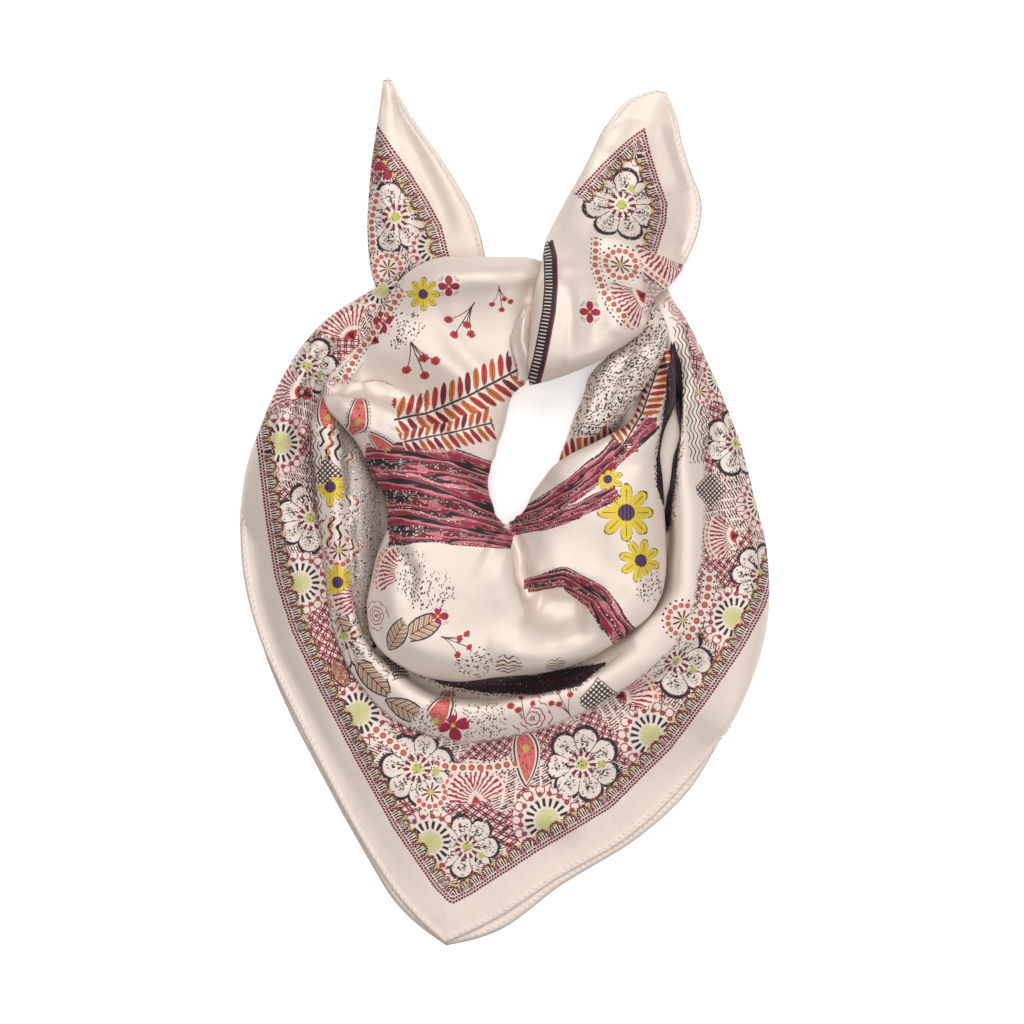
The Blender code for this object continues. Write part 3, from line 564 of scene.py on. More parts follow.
# Steps: the cloth is higher on the left of a line than on its right, and the step fades away from it.
def stepped(grid, steps):
    height = np.zeros(grid.shape[:2])
    for rise, endRise, width, reach, line in steps:
        off, passed = besideLine(grid, line)
        along = passed / passed.max()
        fade = np.clip(np.minimum(along, 1 - along) * foldEnds["steps"], 0, 1) ** foldEnds["power"]
        fade *= np.exp(-((off / reach) ** 2))
        height += (rise + (endRise - rise) * along) * np.tanh(off / width) * fade
    return height


# Slow unevenness of soft cloth, from noise in space.
def rumple(grid, wide, depth, seed):
    values = np.empty(grid.shape[:2])
    shift = Vector((seed * 17.3, seed * 5.1, seed * 9.7))
    for i, j in np.ndindex(values.shape):
        values[i, j] = noise.noise(Vector(grid[i, j] / wide) + shift)
    return values * depth


def placed(name, data):
    obj = bpy.data.objects.new(name, data)
    bpy.context.scene.collection.objects.link(obj)
    return obj


def surfaceOf(objects):
    graph = bpy.context.evaluated_depsgraph_get()
    points = []
    faces = []
    for obj in objects:
        mesh = obj.evaluated_get(graph).to_mesh()
        faces += [[len(points) + i for i in face.vertices] for face in mesh.polygons]
        points += [v.co.copy() for v in mesh.vertices]
    return BVHTree.FromPolygons(points, faces)


def cad(*names):
    return [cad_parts[name] for name in names]


# A closed thin shell round the grid: half is half its thickness at each point. UV is in metres.
def clothShell(name, grid, half):
    rows, cols = grid.shape[:2]
    normal = normalsOf(grid)
    top = grid + normal * half[..., None]
    bottom = grid - normal * half[..., None]
    points = np.concatenate([top.reshape(-1, 3), bottom.reshape(-1, 3)]) * mm
    cell = (np.arange(rows - 1)[:, None] * cols + np.arange(cols - 1)[None, :]).reshape(-1)
    quads = np.stack([cell, cell + cols, cell + cols + 1, cell + 1], axis=1)
    under = quads[:, ::-1] + rows * cols
    rim = np.concatenate(
        [
            np.arange(cols - 1),
            np.arange(rows - 1) * cols + cols - 1,
            (rows - 1) * cols + np.arange(cols - 1, 0, -1),
            np.arange(rows - 1, 0, -1) * cols,
        ]
    )
    after = np.roll(rim, -1)
    shift = rows * cols
    sides = np.stack([rim, after, after + shift, rim + shift], axis=1)
    # Every face is wound inwards, which a material that shows both sides doesn't reveal.
    faces = np.concatenate([quads, under, sides])
    mesh = bpy.data.meshes.new(name)
    mesh.vertices.add(len(points))
    mesh.vertices.foreach_set("co", points.astype(np.float32).ravel())
    mesh.loops.add(faces.size)
    mesh.loops.foreach_set("vertex_index", faces.astype(np.int32).ravel())
    mesh.polygons.add(len(faces))
    mesh.polygons.foreach_set("loop_start", np.arange(0, faces.size, 4, dtype=np.int32))
    mesh.update(calc_edges=True)
    mesh.validate()
    mesh.shade_smooth()
    across = awayFrom(grid, "in")
    across = across - across[:, cols // 2][:, None]
    stretch = np.linalg.norm(np.diff(grid[:, cols // 2], axis=0), axis=1)
    along = np.concatenate([[0], np.cumsum(stretch)])[:, None] + np.zeros((1, cols))
    uv = np.stack([across, along], axis=2).reshape(-1, 2) * mm
    uv = np.concatenate([uv, uv])
    layer = mesh.uv_layers.new(name="cloth")
    layer.data.foreach_set("uv", uv[faces.ravel()].astype(np.float32).ravel())
    return placed(name, mesh), faces


# A value at each point of the grid becomes an attribute of both sides of the shell.
def pointValues(obj, name, values):
    attribute = obj.data.attributes.new(name, "FLOAT", "POINT")
    flat = np.concatenate([values.ravel(), values.ravel()])
    attribute.data.foreach_set("value", flat.astype(np.float32))


# along and across are the steps of the fine grid, sink how far a free edge lies down. flat is the width
# and length of the piece laid flat, in metres and rounded. rumple is (size, depth, seed).
pieces = {
    "drape": {
        "along": 2.0, "across": 1.6, "flat": (0.20, 0.75), "rumple": (26, 0.9, 1), "sink": 0.75,
        # (depth, end depth, width, crisp, line)
        "folds": [
            (-5.5, -6.0, 5.0, False, [(-86, 56), (-82, 18), (-84, -10), (-82, -37), (-72, -66), (-57, -85)]),
            (-5.0, -5.0, 4.5, False, [(-62, -82), (-36, -95), (-8, -97), (20, -93), (47, -84), (70, -70)]),
            (-6.0, -4.0, 4.5, False, [(92, 92), (94, 70), (91, 50), (88, 30), (88, 0)]),
            (2.0, 2.5, 10.0, False, [(56, -98), (88, -76), (101, -45), (102, 0), (99, 40)]),
            (-2.2, -1.0, 4.0, True, [(99, 106), (108, 82), (116, 52), (120, 20)]),
            (1.5, 1.0, 4.0, False, [(94, 104), (102, 82), (108, 56), (110, 30)]),
            (-2.5, -1.0, 5.0, True, [(-58, 122), (-86, 102), (-106, 76), (-114, 46), (-116, 16)]),
            (1.8, 1.0, 5.0, False, [(-84, 112), (-106, 88), (-122, 56), (-128, 20)]),
            (-1.6, -1.0, 6.0, False, [(-120, -20), (-112, -60), (-96, -100), (-76, -140)]),
            (-1.2, -1.0, 8.0, False, [(20, -140), (58, -126), (92, -100), (112, -70)]),
            (1.0, 1.5, 7.0, False, [(-20, -150), (10, -168), (44, -172)]),
            (-1.4, -0.8, 5.0, True, [(-110, 0), (-100, -34), (-96, -60)]),
        ],
    },
    "loop": {
        "along": 1.8, "across": 1.5, "flat": (0.13, 0.55), "rumple": (24, 1.0, 2), "sink": 0.0,
        "folds": [
            (-8.0, -3.5, 13.0, False, [(-88, 75), (-68, 73), (-48, 65), (-28, 53)]),
            (2.5, 1.5, 8.0, False, [(-80, 46), (-60, 46), (-38, 38), (-18, 26)]),
            (1.6, 1.0, 5.0, False, [(-8, 12), (-30, 8), (-52, 5), (-68, 4)]),
            (-1.8, -1.8, 5.0, True, [(-6, 2), (-28, -4), (-54, -8)]),
            (-9.5, -7.5, 11.0, False, [(14, -46), (28, -51), (44, -50)]),
            (4.0, 3.0, 7.5, False, [(-10, -74), (22, -77), (48, -70), (68, -58)]),
            (2.2, 1.5, 7.0, False, [(10, -34), (28, -31), (46, -33), (62, -42)]),
            (-2.8, -2.0, 6.0, False, [(2, -3), (22, 6), (46, 16), (68, 26), (84, 36)]),
            (-2.0, -1.0, 4.0, True, [(60, 30), (74, 40), (84, 56)]),
            (-1.6, -1.6, 6.0, False, [(-40, 128), (-36, 106), (-22, 84), (-8, 70)]),
            (1.4, 1.4, 6.0, False, [(-62, 104), (-44, 88), (-20, 74), (-2, 62)]),
            (-1.8, -1.2, 5.0, True, [(16, 128), (10, 108), (8, 88), (10, 76)]),
            (-1.6, -1.0, 6.0, False, [(-60, -30), (-66, -48), (-62, -66)]),
        ],
        # (rise, end rise, width, reach, line): higher on the left of the line
        "steps": [
            (
                -7.5, -2.5, 1.7, 14.0,
                [(-97, 64), (-84, 63), (-73, 62), (-63, 60), (-54, 56), (-47, 53), (-35, 47), (-24, 40)],
            ),
            (2.6, 2.0, 2.0, 10.0, [(-65, -2), (-53, -21), (-47, -32), (-50, -50)]),
            (-5.5, -5.0, 1.8, 13.0, [(-2, -4), (1, -12), (4, -22), (5, -34), (9, -45), (16, -56)]),
        ],
    },
    "band": {
        "along": 1.4, "across": 1.2, "flat": (0.06, 0.10), "rumple": (18, 0.6, 3), "sink": 0.0,
        "folds": [
            (-2.4, -1.5, 3.0, True, [(78, 94), (68, 74), (56, 54), (46, 38)]),
            (-1.6, -1.2, 3.0, True, [(62, 90), (52, 70), (44, 50), (36, 32)]),
            (1.2, 1.0, 4.0, False, [(70, 92), (60, 70), (50, 50)]),
        ],
    },
    "pleat": {
        "along": 1.0, "across": 0.8, "flat": (0.03, 0.045), "rumple": (9, 0.5, 4), "sink": 0.0,
        "folds": [
            (-2.2, -2.2, 1.5, True, [(12.5, 112), (10, 101), (9.5, 93), (12, 84), (13, 72)]),
        ],
    },
    "knot": {
        "along": 1.5, "across": 1.3, "flat": (0.10, 0.20), "rumple": (26, 0.9, 5), "sink": 0.3,
        "folds": [
            (-3.5, -2.0, 7.0, False, [(94, 128), (80, 138), (64, 146), (46, 150)]),
            (-1.8, -1.4, 4.0, True, [(84, 122), (66, 128), (48, 132), (30, 130)]),
            (-1.2, -1.6, 3.0, True, [(21, 134), (19, 116), (17.5, 100), (16.5, 84), (15, 72)]),
            (-1.4, -1.4, 3.5, False, [(34, 124), (36, 106), (35, 88), (33, 78)]),
            (-2.0, -1.4, 5.0, False, [(70, 120), (66, 108), (58, 96)]),
            (1.6, 1.2, 5.0, False, [(52, 120), (50, 104), (46, 88)]),
            (-2.2, -1.6, 8.0, False, [(98, 176), (90, 196), (86, 214)]),
            (1.6, 1.2, 7.0, False, [(60, 200), (54, 180), (48, 162)]),
            (-1.5, -1.5, 8.0, False, [(74, 216), (72, 190), (66, 166)]),
        ],
        "steps": [(2.0, 1.2, 2.0, 9.0, [(100, 150), (92, 142), (84, 130)])],
    },
    "ear": {
        "along": 1.6, "across": 1.3, "flat": (0.08, 0.13), "rumple": (26, 0.6, 6), "sink": 0.3,
        "folds": [
            (1.0, 1.6, 5.0, False, [(-62, 228), (-54, 196), (-44, 164), (-40, 140)]),
            (-1.0, -1.4, 5.0, False, [(-58, 214), (-42, 184), (-28, 152)]),
            (-0.8, -1.2, 4.0, False, [(-68, 200), (-66, 170), (-58, 140)]),
        ],
    },
    "leaf": {
        "along": 2.5, "across": 2.5, "flat": (0.035, 0.47), "rumple": (40, 0.1, 7), "sink": 0.35,
        "folds": [],
    },
}

grids = {}
hemShape = {
    "width": 3.2, "swell": 0.5, "edge": 0.7, "stitchLine": 2.3, "groove": 0.45, "grooveWidth": 0.5,
    "proud": 0.06, "fade": 4,
}

# Where the turned hems of the square show: (side, plan point where it starts, where it ends).
hemRuns = {
    "drape": [("out", (-144, 8), (122, -117))],
    "leaf": [("out", (-141, -33), (119, -124))],
    "ear": [("out", (-62, 238), (-11, 140))],
    "knot": [("out", (89, 231), (96, 132)), ("in", (82, 232), (52, 205))],
}


def dressed(key, coarse, corner=None):
    values = pieces[key]
    grid = finer(coarse, values["along"], values["across"], corner)
    wide, depth, seed = values["rumple"]
    height = relief(grid, values["folds"]) + stepped(grid, values.get("steps", []))
    off = awayFrom(grid, "out") if key in hemRuns else np.full(grid.shape[:2], farOff)
    height *= np.clip(off / flatEdge["folds"], 0, 1)
    height += rumple(grid, wide, depth, seed) * np.clip(off / flatEdge["rumple"], 0.15, 1)
    grid = grid + normalsOf(grid) * height[..., None]
    grid[..., 2] -= values["sink"] * np.clip(1 - off / flatEdge["sink"], 0, 1)
    grid[..., 2] = np.maximum(grid[..., 2], lowestSilk)
    grids[key] = grid


coarseRows = {"drape": 60, "loop": 76, "band": 16, "pleat": 12, "knot": 30, "ear": 16, "leaf": 26}
earCoarse = sheet(earColumns, earRows, coarseRows["ear"], earSpans, crestAt=0.45)
leafCoarse = sheet(leafColumns, leafRows, coarseRows["leaf"], leafSpans, leafCorner, **leafRest)
drapeTable = alongStretch(columns(drapeColumns, drapeRows), coarseRows["drape"], drapeCorner)
drapeCoarse = loft(drapeTable, drapeSections(drapeTable), drapeSpans)
drapeCoarse = settled(drapeCoarse, cad("under_leaf", "left_ear"), (0, 6))
loopCoarse = creased(sheet(sheetColumns, loopRows, coarseRows["loop"], loopSpans), loopCreases)
loopCoarse = settled(loopCoarse, cad("left_ear", "under_leaf", "front_panel", "middle_fold"), (6, 5))
bandCoarse = sheet(sheetColumns, bandRows, coarseRows["band"], bandSpans)
bandCoarse = seated(bandCoarse, cad("middle_fold", "front_panel", "neck_loop"), edges=(4, 3), until=0.5)
pleatCoarse = sheet(pleatColumns, pleatRows, coarseRows["pleat"], pleatSpans, crestAt=0.5)
pleatCoarse = seated(pleatCoarse, cad("neck_loop"), edges=(2, 2))
knotCoarse = sheet(knotColumns, knotRows, coarseRows["knot"], knotSpans, crestAt=0.5)
knotBelow = cad("neck_loop", "right_neck_band", "knot_pleat", "front_panel", "middle_fold")
knotCoarse = seated(knotCoarse, knotBelow, edges=(5, 5))
print("cloth laid")


def rowsBetween(grid, side, start, end):
    edge = grid[:, 0 if side == "in" else -1, :2]
    first = int(np.argmin(np.linalg.norm(edge - start, axis=1)))
    last = int(np.argmin(np.linalg.norm(edge - end, axis=1)))
    return min(first, last), max(first, last)


# Half thickness of the cloth, fuller where a hem is turned.
def hemmed(key):
    grid = grids[key]
    half = np.full(grid.shape[:2], silkHalf)
    for side, start, end in hemRuns.get(key, []):
        first, last = rowsBetween(grid, side, start, end)
        rows = np.arange(len(grid))
        inRun = np.clip((rows - first) / hemShape["fade"] + 1, 0, 1)
        inRun = inRun * np.clip((last - rows) / hemShape["fade"] + 1, 0, 1)
        off = awayFrom(grid, side)
        share = np.clip(off / hemShape["width"], 0, 1)
        rise = np.clip(off / hemShape["edge"], 0.25, 1) ** 0.5 * np.clip((1 - share) * 4, 0, 1)
        dip = np.exp(-(((off - hemShape["stitchLine"]) / hemShape["grooveWidth"]) ** 2)) * hemShape["groove"]
        half = half + hemShape["swell"] * np.clip(rise - dip, 0, 1) * inRun[:, None]
    return half


# The line that the stitches of each hem follow, just proud of the cloth.
def stitchLines(key, half):
    grid = grids[key]
    normal = normalsOf(grid)
    line = hemShape["stitchLine"]
    lines = []
    for side, start, end in hemRuns.get(key, []):
        first, last = rowsBetween(grid, side, start, end)
        off = awayFrom(grid, side)
        points = []
        for i in range(first, last + 1):
            order = np.argsort(off[i])
            place = [np.interp(line, off[i][order], grid[i, order, k]) for k in range(3)]
            rise = np.interp(line, off[i][order], half[i][order]) + hemShape["proud"]
            nearest = np.argmin(np.abs(off[i] - line))
            up = normal[i, nearest] * np.sign(normal[i, nearest, 2])
            points.append(np.array(place) + up * rise)
        lines.append(np.array(points))
    return lines


# The inputs of the stitch tree, in metres, with the slant in radians.
threadShape = {
    "Pitch": 0.0034, "Thread Length": 0.003, "Thread Width": 0.001, "Thread Height": 0.0006, "Slant": 0.55,
}
threadFacets = {"Segments": 6, "Rings": 5, "Radius": 0.5}
threadVary = {"shortest": 0.85, "longest": 1.1, "seed": 11}


# Geometry Nodes: a slanted stitch of small rounded threads along each line.
def stitchTree():
    tree = bpy.data.node_groups.new("runningStitch", "GeometryNodeTree")
    face = tree.interface
    face.new_socket("Line", in_out="INPUT", socket_type="NodeSocketGeometry")
    for name, value in threadShape.items():
        face.new_socket(name, in_out="INPUT", socket_type="NodeSocketFloat").default_value = value
    face.new_socket("Thread", in_out="INPUT", socket_type="NodeSocketMaterial")
    face.new_socket("Stitches", in_out="OUTPUT", socket_type="NodeSocketGeometry")
    node = tree.nodes.new
    given = node("NodeGroupInput")
    curve = node("GeometryNodeMeshToCurve")
    spots = node("GeometryNodeCurveToPoints")
    spots.mode = "LENGTH"
    thread = node("GeometryNodeMeshUVSphere")
    for name, value in threadFacets.items():
        thread.inputs[name].default_value = value
    threadSize = node("ShaderNodeCombineXYZ")
    vary = node("FunctionNodeRandomValue")
    vary.inputs[2].default_value = threadVary["shortest"]
    vary.inputs[3].default_value = threadVary["longest"]
    vary.inputs["Seed"].default_value = threadVary["seed"]
    length = node("ShaderNodeMath")
    length.operation = "MULTIPLY"
    slant = node("FunctionNodeAxisAngleToRotation")
    slant.inputs["Axis"].default_value = (0, 1, 0)
    turned = node("FunctionNodeRotateRotation")
    turned.rotation_space = "LOCAL"
    place = node("GeometryNodeInstanceOnPoints")
    real = node("GeometryNodeRealizeInstances")
    smooth = node("GeometryNodeSetShadeSmooth")
    finish = node("GeometryNodeSetMaterial")
    out = node("NodeGroupOutput")
    for source, output, target, entry in (
        (given, "Line", curve, "Mesh"),
        (curve, "Curve", spots, "Curve"),
        (given, "Pitch", spots, "Length"),
        (spots, "Points", place, "Points"),
        (given, "Slant", slant, "Angle"),
        (spots, "Rotation", turned, "Rotation"),
        (slant, "Rotation", turned, "Rotate By"),
        (turned, "Rotation", place, "Rotation"),
        (thread, "Mesh", place, "Instance"),
        (given, "Thread Length", length, 0),
        (vary, 1, length, 1),
        (given, "Thread Width", threadSize, "X"),
        (given, "Thread Height", threadSize, "Y"),
        (length, 0, threadSize, "Z"),
        (threadSize, "Vector", place, "Scale"),
        (place, "Instances", real, "Geometry"),
        (real, "Geometry", smooth, "Geometry"),
        (smooth, "Geometry", finish, "Geometry"),
        (given, "Thread", finish, "Material"),
        (finish, "Geometry", out, "Stitches"),
    ):
        tree.links.new(source.outputs[output], target.inputs[entry])
    return tree


def stitched(name, lines, tree, thread):
    points = [p for line in lines for p in line]
    edges = []
    start = 0
    for line in lines:
        edges += [(start + i, start + i + 1) for i in range(len(line) - 1)]
        start += len(line)
    mesh = bpy.data.meshes.new(name)
    mesh.from_pydata([Vector(p) * mm for p in points], edges, [])
    guide = placed(name + "Guide", mesh)
    modifier = guide.modifiers.new("stitches", "NODES")
    modifier.node_group = tree
    named = {s.name: s.identifier for s in tree.interface.items_tree if s.in_out == "INPUT"}
    for label, value in threadShape.items():
        modifier[named[label]] = value
    modifier[named["Thread"]] = thread
    graph = bpy.context.evaluated_depsgraph_get()
    baked = bpy.data.meshes.new_from_object(guide.evaluated_get(graph))
    obj = placed(name, baked)
    bpy.data.objects.remove(guide)
    return obj


# The two hems that meet at a corner of the square, on past where they roll under: the border follows them.
borderLines = {
    "drape": [
        [
            (-33, -238), (-53, -218), (-77, -183), (-99, -143), (-118, -106),
            (-134, -72), (-144, -40), (-149, -8), (-153, 30), (-160, 70),
        ],
        [
            (-33, -238), (-9, -226), (28, -202), (70, -177), (106, -141),
            (127, -112), (146, -84), (160, -58), (172, -20), (178, 20),
        ],
    ],
    "ear": [
        [(-65, 240), (-56, 226), (-45, 209), (-35, 195), (-25, 179), (-17, 164), (-11, 140), (-8, 120)],
        [(-65, 240), (-84, 226), (-96, 206), (-104, 186)],
    ],
    "knot": [
        [(88, 233), (94, 220), (98, 202), (103, 186), (108, 172), (107, 156), (103, 143), (100, 134)],
        [(88, 233), (70, 229), (56, 219), (40, 204), (24, 186)],
    ],
}


def borderOf(key):
    grid = grids[key]
    away = np.full(grid.shape[:2], farOff)
    along = np.zeros(grid.shape[:2])
    for line in borderLines.get(key, []):
        off, passed = besideLine(grid, line)
        closer = (np.abs(off) < away) & (passed < passed.max() - 0.001)
        along = np.where(closer, passed, along)
        away = np.where(closer, np.abs(off), away)
    return away, along


motifNames = (
    "rosette sunburst palmette paisley plume berries daisy lattice wreath stipple squiggles lace blossom "
    "ribbon beads garland ticks waves thatch dashes scrawl"
)
motifCodes = {name: code for code, name in enumerate(motifNames.split(), 1)}


# Every motif: its name, place on the plan, radius and turn in degrees. Bands follow a line at a half width.
motifSpots = {
    "drape": [
        ("plume", -88, -64, 15, -64), ("plume", -72, -90, 15, -44), ("plume", -53, -108, 14, -26),
        ("plume", -90, -88, 10, -60), ("blossom", -28, -116, 12, 12), ("daisy", -95, 14, 12, 0),
        ("squiggles", -95, -12, 13, 80), ("daisy", -91, -38, 12, 0), ("squiggles", -95, 38, 13, 80),
        ("stipple", -10, -113, 14, 0), ("stipple", -44, -114, 13, 0), ("berries", 10, -108, 11, 10),
        ("berries", 32, -104, 10, 30), ("squiggles", -80, -20, 11, 70), ("squiggles", -81, 6, 11, 100),
        ("stipple", -82, 0, 14, 0), ("squiggles", -84, 30, 10, 60), ("stipple", -66, -84, 12, 0),
        ("sunburst", 141, 6, 16, 0), ("rosette", 127, 38, 19.5, 0), ("sunburst", 119, 74, 15, 0),
        ("palmette", 104, 94, 13, 60), ("rosette", 140, -34, 18, 20), ("lattice", 112, 12, 11, 0),
        ("wreath", 106, 66, 10, 0), ("palmette", 118, -14, 12, 100), ("lace", 94, 112, 8, 0),
        ("rosette", -108, 80, 18, 0), ("palmette", -88, 104, 14, 30), ("sunburst", -68, 122, 13, 0),
        ("lattice", -52, 128, 10, 0),
    ],
    "loop": [
        ("berries", -47, 84, 15, 205), ("berries", -22, 104, 13, 150), ("blossom", -66, 104, 9, 0),
        ("daisy", -44, 118, 10, 0), ("palmette", -76, 98, 13, 40), ("stipple", -56, 98, 13, 0),
        ("sunburst", -92, 80, 11, 0), ("wreath", -66, 114, 10, 0), ("blossom", -30, 122, 7, 0),
        ("paisley", -79, 53, 12.5, 12), ("paisley", -66, 36, 11, 60), ("berries", -2, 116, 9, 190),
        ("stipple", -54, -30, 13, 0), ("palmette", -62, -30, 13, 78), ("lace", -70, -56, 9, 0),
        ("plume", -44, -62, 14, 30), ("plume", -58, -66, 12, 60), ("stipple", -40, -44, 14, 0),
        ("berries", -26, -70, 11, 250), ("squiggles", 2, -84, 9, 0), ("stipple", -16, -82, 12, 0),
        ("daisy", 66, 0, 17, 0), ("daisy", 74, -26, 13, 30), ("daisy", 56, 18, 9, 20),
        ("stipple", 80, -40, 10, 0), ("blossom", -36, -56, 7, 0), ("squiggles", 28, -84, 7, 0),
    ],
    "band": [
        ("dashes", 78, 96, 18, 0), ("dashes", 70, 76, 19, 0), ("dashes", 58, 60, 18, 0),
        ("dashes", 46, 46, 14, 0), ("dashes", 84, 84, 15, 0), ("dashes", 52, 74, 14, 0),
        ("dashes", 76, 112, 12, 0),
    ],
    "knot": [
        ("sunburst", 85, 198, 17.5, 0), ("rosette", 64, 168, 22, 30), ("palmette", 92, 166, 15, 20),
        ("palmette", 86, 138, 16, -30), ("wreath", 63, 134, 13, 0), ("palmette", 68, 114, 15, -60),
        ("lace", 44, 192, 9, 0), ("squiggles", 36, 166, 8, 0), ("blossom", 46, 108, 7, 0),
    ],
    "ear": [
        ("rosette", -60, 162, 21, 0), ("blossom", -64, 190, 9, 0), ("sunburst", -38, 146, 16, -20),
        ("palmette", -22, 134, 12, 0), ("wreath", -64, 134, 11, 0),
    ],
}
# Along the drape's two hems: the motif, the hem's side, how far from the corner, how deep, radius and turn.
hemSpots = [
    ("sunburst", 0, 52, 31, 19, 0), ("rosette", 0, 94, 46, 21.5, 20), ("sunburst", 0, 137, 32, 18.5, 0),
    ("rosette", 0, 180, 44, 21, 50), ("sunburst", 0, 221, 31, 17.5, 0), ("rosette", 0, 262, 43, 20.5, 10),
    ("sunburst", 0, 302, 32, 17, 0), ("palmette", 0, 334, 40, 16, 60), ("palmette", 0, 72, 66, 15, 40),
    ("paisley", 0, 118, 72, 15, -10), ("lattice", 0, 152, 62, 13, 0), ("palmette", 0, 204, 54, 14, 110),
    ("wreath", 0, 240, 56, 12, 0), ("lattice", 0, 284, 54, 12, 0), ("paisley", 0, 316, 60, 13, 20),
    ("lace", 0, 168, 80, 11, 0), ("rosette", 1, 40, 42, 19, 0),
    ("sunburst", 1, 84, 31, 19.5, 0), ("rosette", 1, 128, 47, 22, 30), ("sunburst", 1, 171, 32, 18.5, 0),
    ("rosette", 1, 213, 44, 20.5, 0), ("sunburst", 1, 254, 31, 17.5, 0), ("palmette", 1, 64, 68, 15, -20),
    ("paisley", 1, 92, 66, 15, 200), ("lattice", 1, 160, 66, 13, 0), ("palmette", 1, 186, 54, 14, -60),
    ("wreath", 1, 234, 55, 12.5, 0), ("lace", 1, 106, 84, 12, 0), ("wreath", 1, 40, 78, 12, 0),
]
motifBands = {
    "drape": [
        ("beads", 3.6, [(-74, -116), (-54, -133), (-30, -140), (-8, -140), (14, -136)]),
        ("beads", 3.6, [(98, -72), (110, -48), (112, -30)]),
        ("waves", 6.0, [(96, 104), (101, 80), (104, 46), (106, 26)]),
        # The next two bands are painted shade: mostly black, with a few maroon stalks, in the crevice right
        # of the loop and in the valley under its lower edge.
        ("thatch", 7.0, [(92, 94), (92, 66), (90, 40), (86, 8), (84, -20)]),
        (
            "thatch", 6.2,
            [(-72, -46), (-64, -66), (-50, -81), (-33, -89.5), (-10, -94), (16, -94.5), (38, -90), (56, -82)],
        ),
        # Squiggles of print, laid dense as painted shade in the valley left of the loop.
        ("scrawl", 10.0, [(-84, 50), (-79, 20), (-76, -14), (-76, -46), (-66, -68)]),
        ("waves", 6.0, [(-106, 44), (-104, 20), (-104, -6)]),
    ],
    "loop": [
        ("ribbon", (10.0, 9.0), [(-76, 29), (-52, 29), (-30, 26), (-6, 18)]),
        ("ribbon", (13.0, 9.5), [(-74, 12), (-50, 12), (-28, 7), (2, -4)]),
        ("ribbon", (12.0, 5.0), [(-64, -7), (-46, -7), (-24, -10), (5, -15)]),
        ("ribbon", (5.0, 8.5), [(2, -6), (20, 2), (38, 13), (56, 28), (80, 52)]),
        ("ribbon", (3.0, 5.5), [(2, -10), (22, -6), (42, 2), (62, 12)]),
        ("ribbon", (4.0, 9.0), [(10, -40), (32, -35), (50, -46), (68, -72)]),
        ("garland", 12.0, [(-60, 50), (-42, 54), (-20, 63), (8, 78)]),
        ("garland", 9.5, [(-56, 38), (-30, 43), (-6, 49)]),
        ("beads", 3.0, [(-88, 70), (-80, 86), (-66, 104), (-54, 122)]),
        ("garland", 9.0, [(64, 36), (75, 54), (82, 74), (86, 92)]),
        # Painted shade: a mostly black band on the loop's side of the crevice at its right.
        ("thatch", 4.5, [(91, 88), (92, 66), (89, 46), (86, 26), (87, 2)]),
    ],
    "band": [("garland", 9.0, [(30, 26), (44, 35), (60, 43)])],
    "knot": [
        ("ticks", 3.9, [(22.8, 148), (25, 138), (25.2, 122), (24, 108), (21.4, 94), (19, 82), (15.5, 69)]),
        ("beads", 3.0, [(50, 150), (49, 134), (54, 118), (66, 104)]),
    ],
    "ear": [("beads", 2.8, [(-69, 178), (-73, 160), (-72, 144)])],
}


spotFit = {"reach": 2.5, "slack": 0.5, "up": 0.1, "growth": 1.35, "behind": -0.1}


# Local place of each point of the grid about a motif's middle, from -1 to 1, measured on the cloth.
def aboutSpot(grid, normal, x, y, radius, turn):
    off = np.hypot(grid[..., 0] - x, grid[..., 1] - y)
    facing = (off < max(spotFit["reach"], off.min() + spotFit["slack"])) & (normal[..., 2] > spotFit["up"])
    if not facing.any():
        facing = off <= off.min()
    place = np.unravel_index(np.argmax(np.where(facing, grid[..., 2] - off, -1e3)), off.shape)
    middle = grid[place] + np.array([x - grid[place][0], y - grid[place][1], 0])
    up = normal[place]
    angle = math.radians(turn)
    first = np.array([math.cos(angle), math.sin(angle), 0.0])
    first -= up * (first @ up)
    first /= np.linalg.norm(first)
    second = np.cross(up, first)
    apart = grid - middle
    a = apart @ first
    b = apart @ second
    true = np.linalg.norm(apart, axis=2)
    grow = np.clip(true / (np.hypot(a, b) + 1e-6), 1, spotFit["growth"])
    seen = (normal @ up) > spotFit["behind"]
    return a * grow / radius, b * grow / radius, seen, place


# A place on the plan so far along one of the drape's hems from its corner, and so deep inside it.
def insideHem(side, along, depth):
    line = np.array(borderLines["drape"][side], float)
    lengths = np.concatenate([[0], np.cumsum(np.linalg.norm(np.diff(line, axis=0), axis=1))])
    x, y = (np.interp(along, lengths, line[:, axis]) for axis in (0, 1))
    ahead = [np.interp(along + 6, lengths, line[:, axis]) for axis in (0, 1)]
    dx, dy = ahead[0] - x, ahead[1] - y
    turn = 1 if side == 0 else -1
    span = math.hypot(dx, dy)
    return x + dy / span * depth * turn, y - dx / span * depth * turn


# The outer panel of the drape, outside the fold that runs round it.
def outerPanel(grid):
    foldLine = np.stack([drapeTable["foldX"], drapeTable["foldY"]], axis=1)
    return besideLine(grid, foldLine)[0] < 0


filledDepth = 95  # how far in from the drape's hems the ground is filled
# Lines on the plan that part the filled ground from the plain one.
fillEdges = {
    "arm": [
        (86, 122), (92, 117), (98, 95), (105, 51), (108, 18), (106, -26), (94, -59), (70, -82), (56, -100),
    ],
    "back": [(-50, 138), (-57, 117), (-70, 98), (-86, 82), (-93, 64)],
}


# From 0 to 1 over a few millimetres past an edge.
def faded(past, over=3):
    return np.clip(past / over, 0, 1)


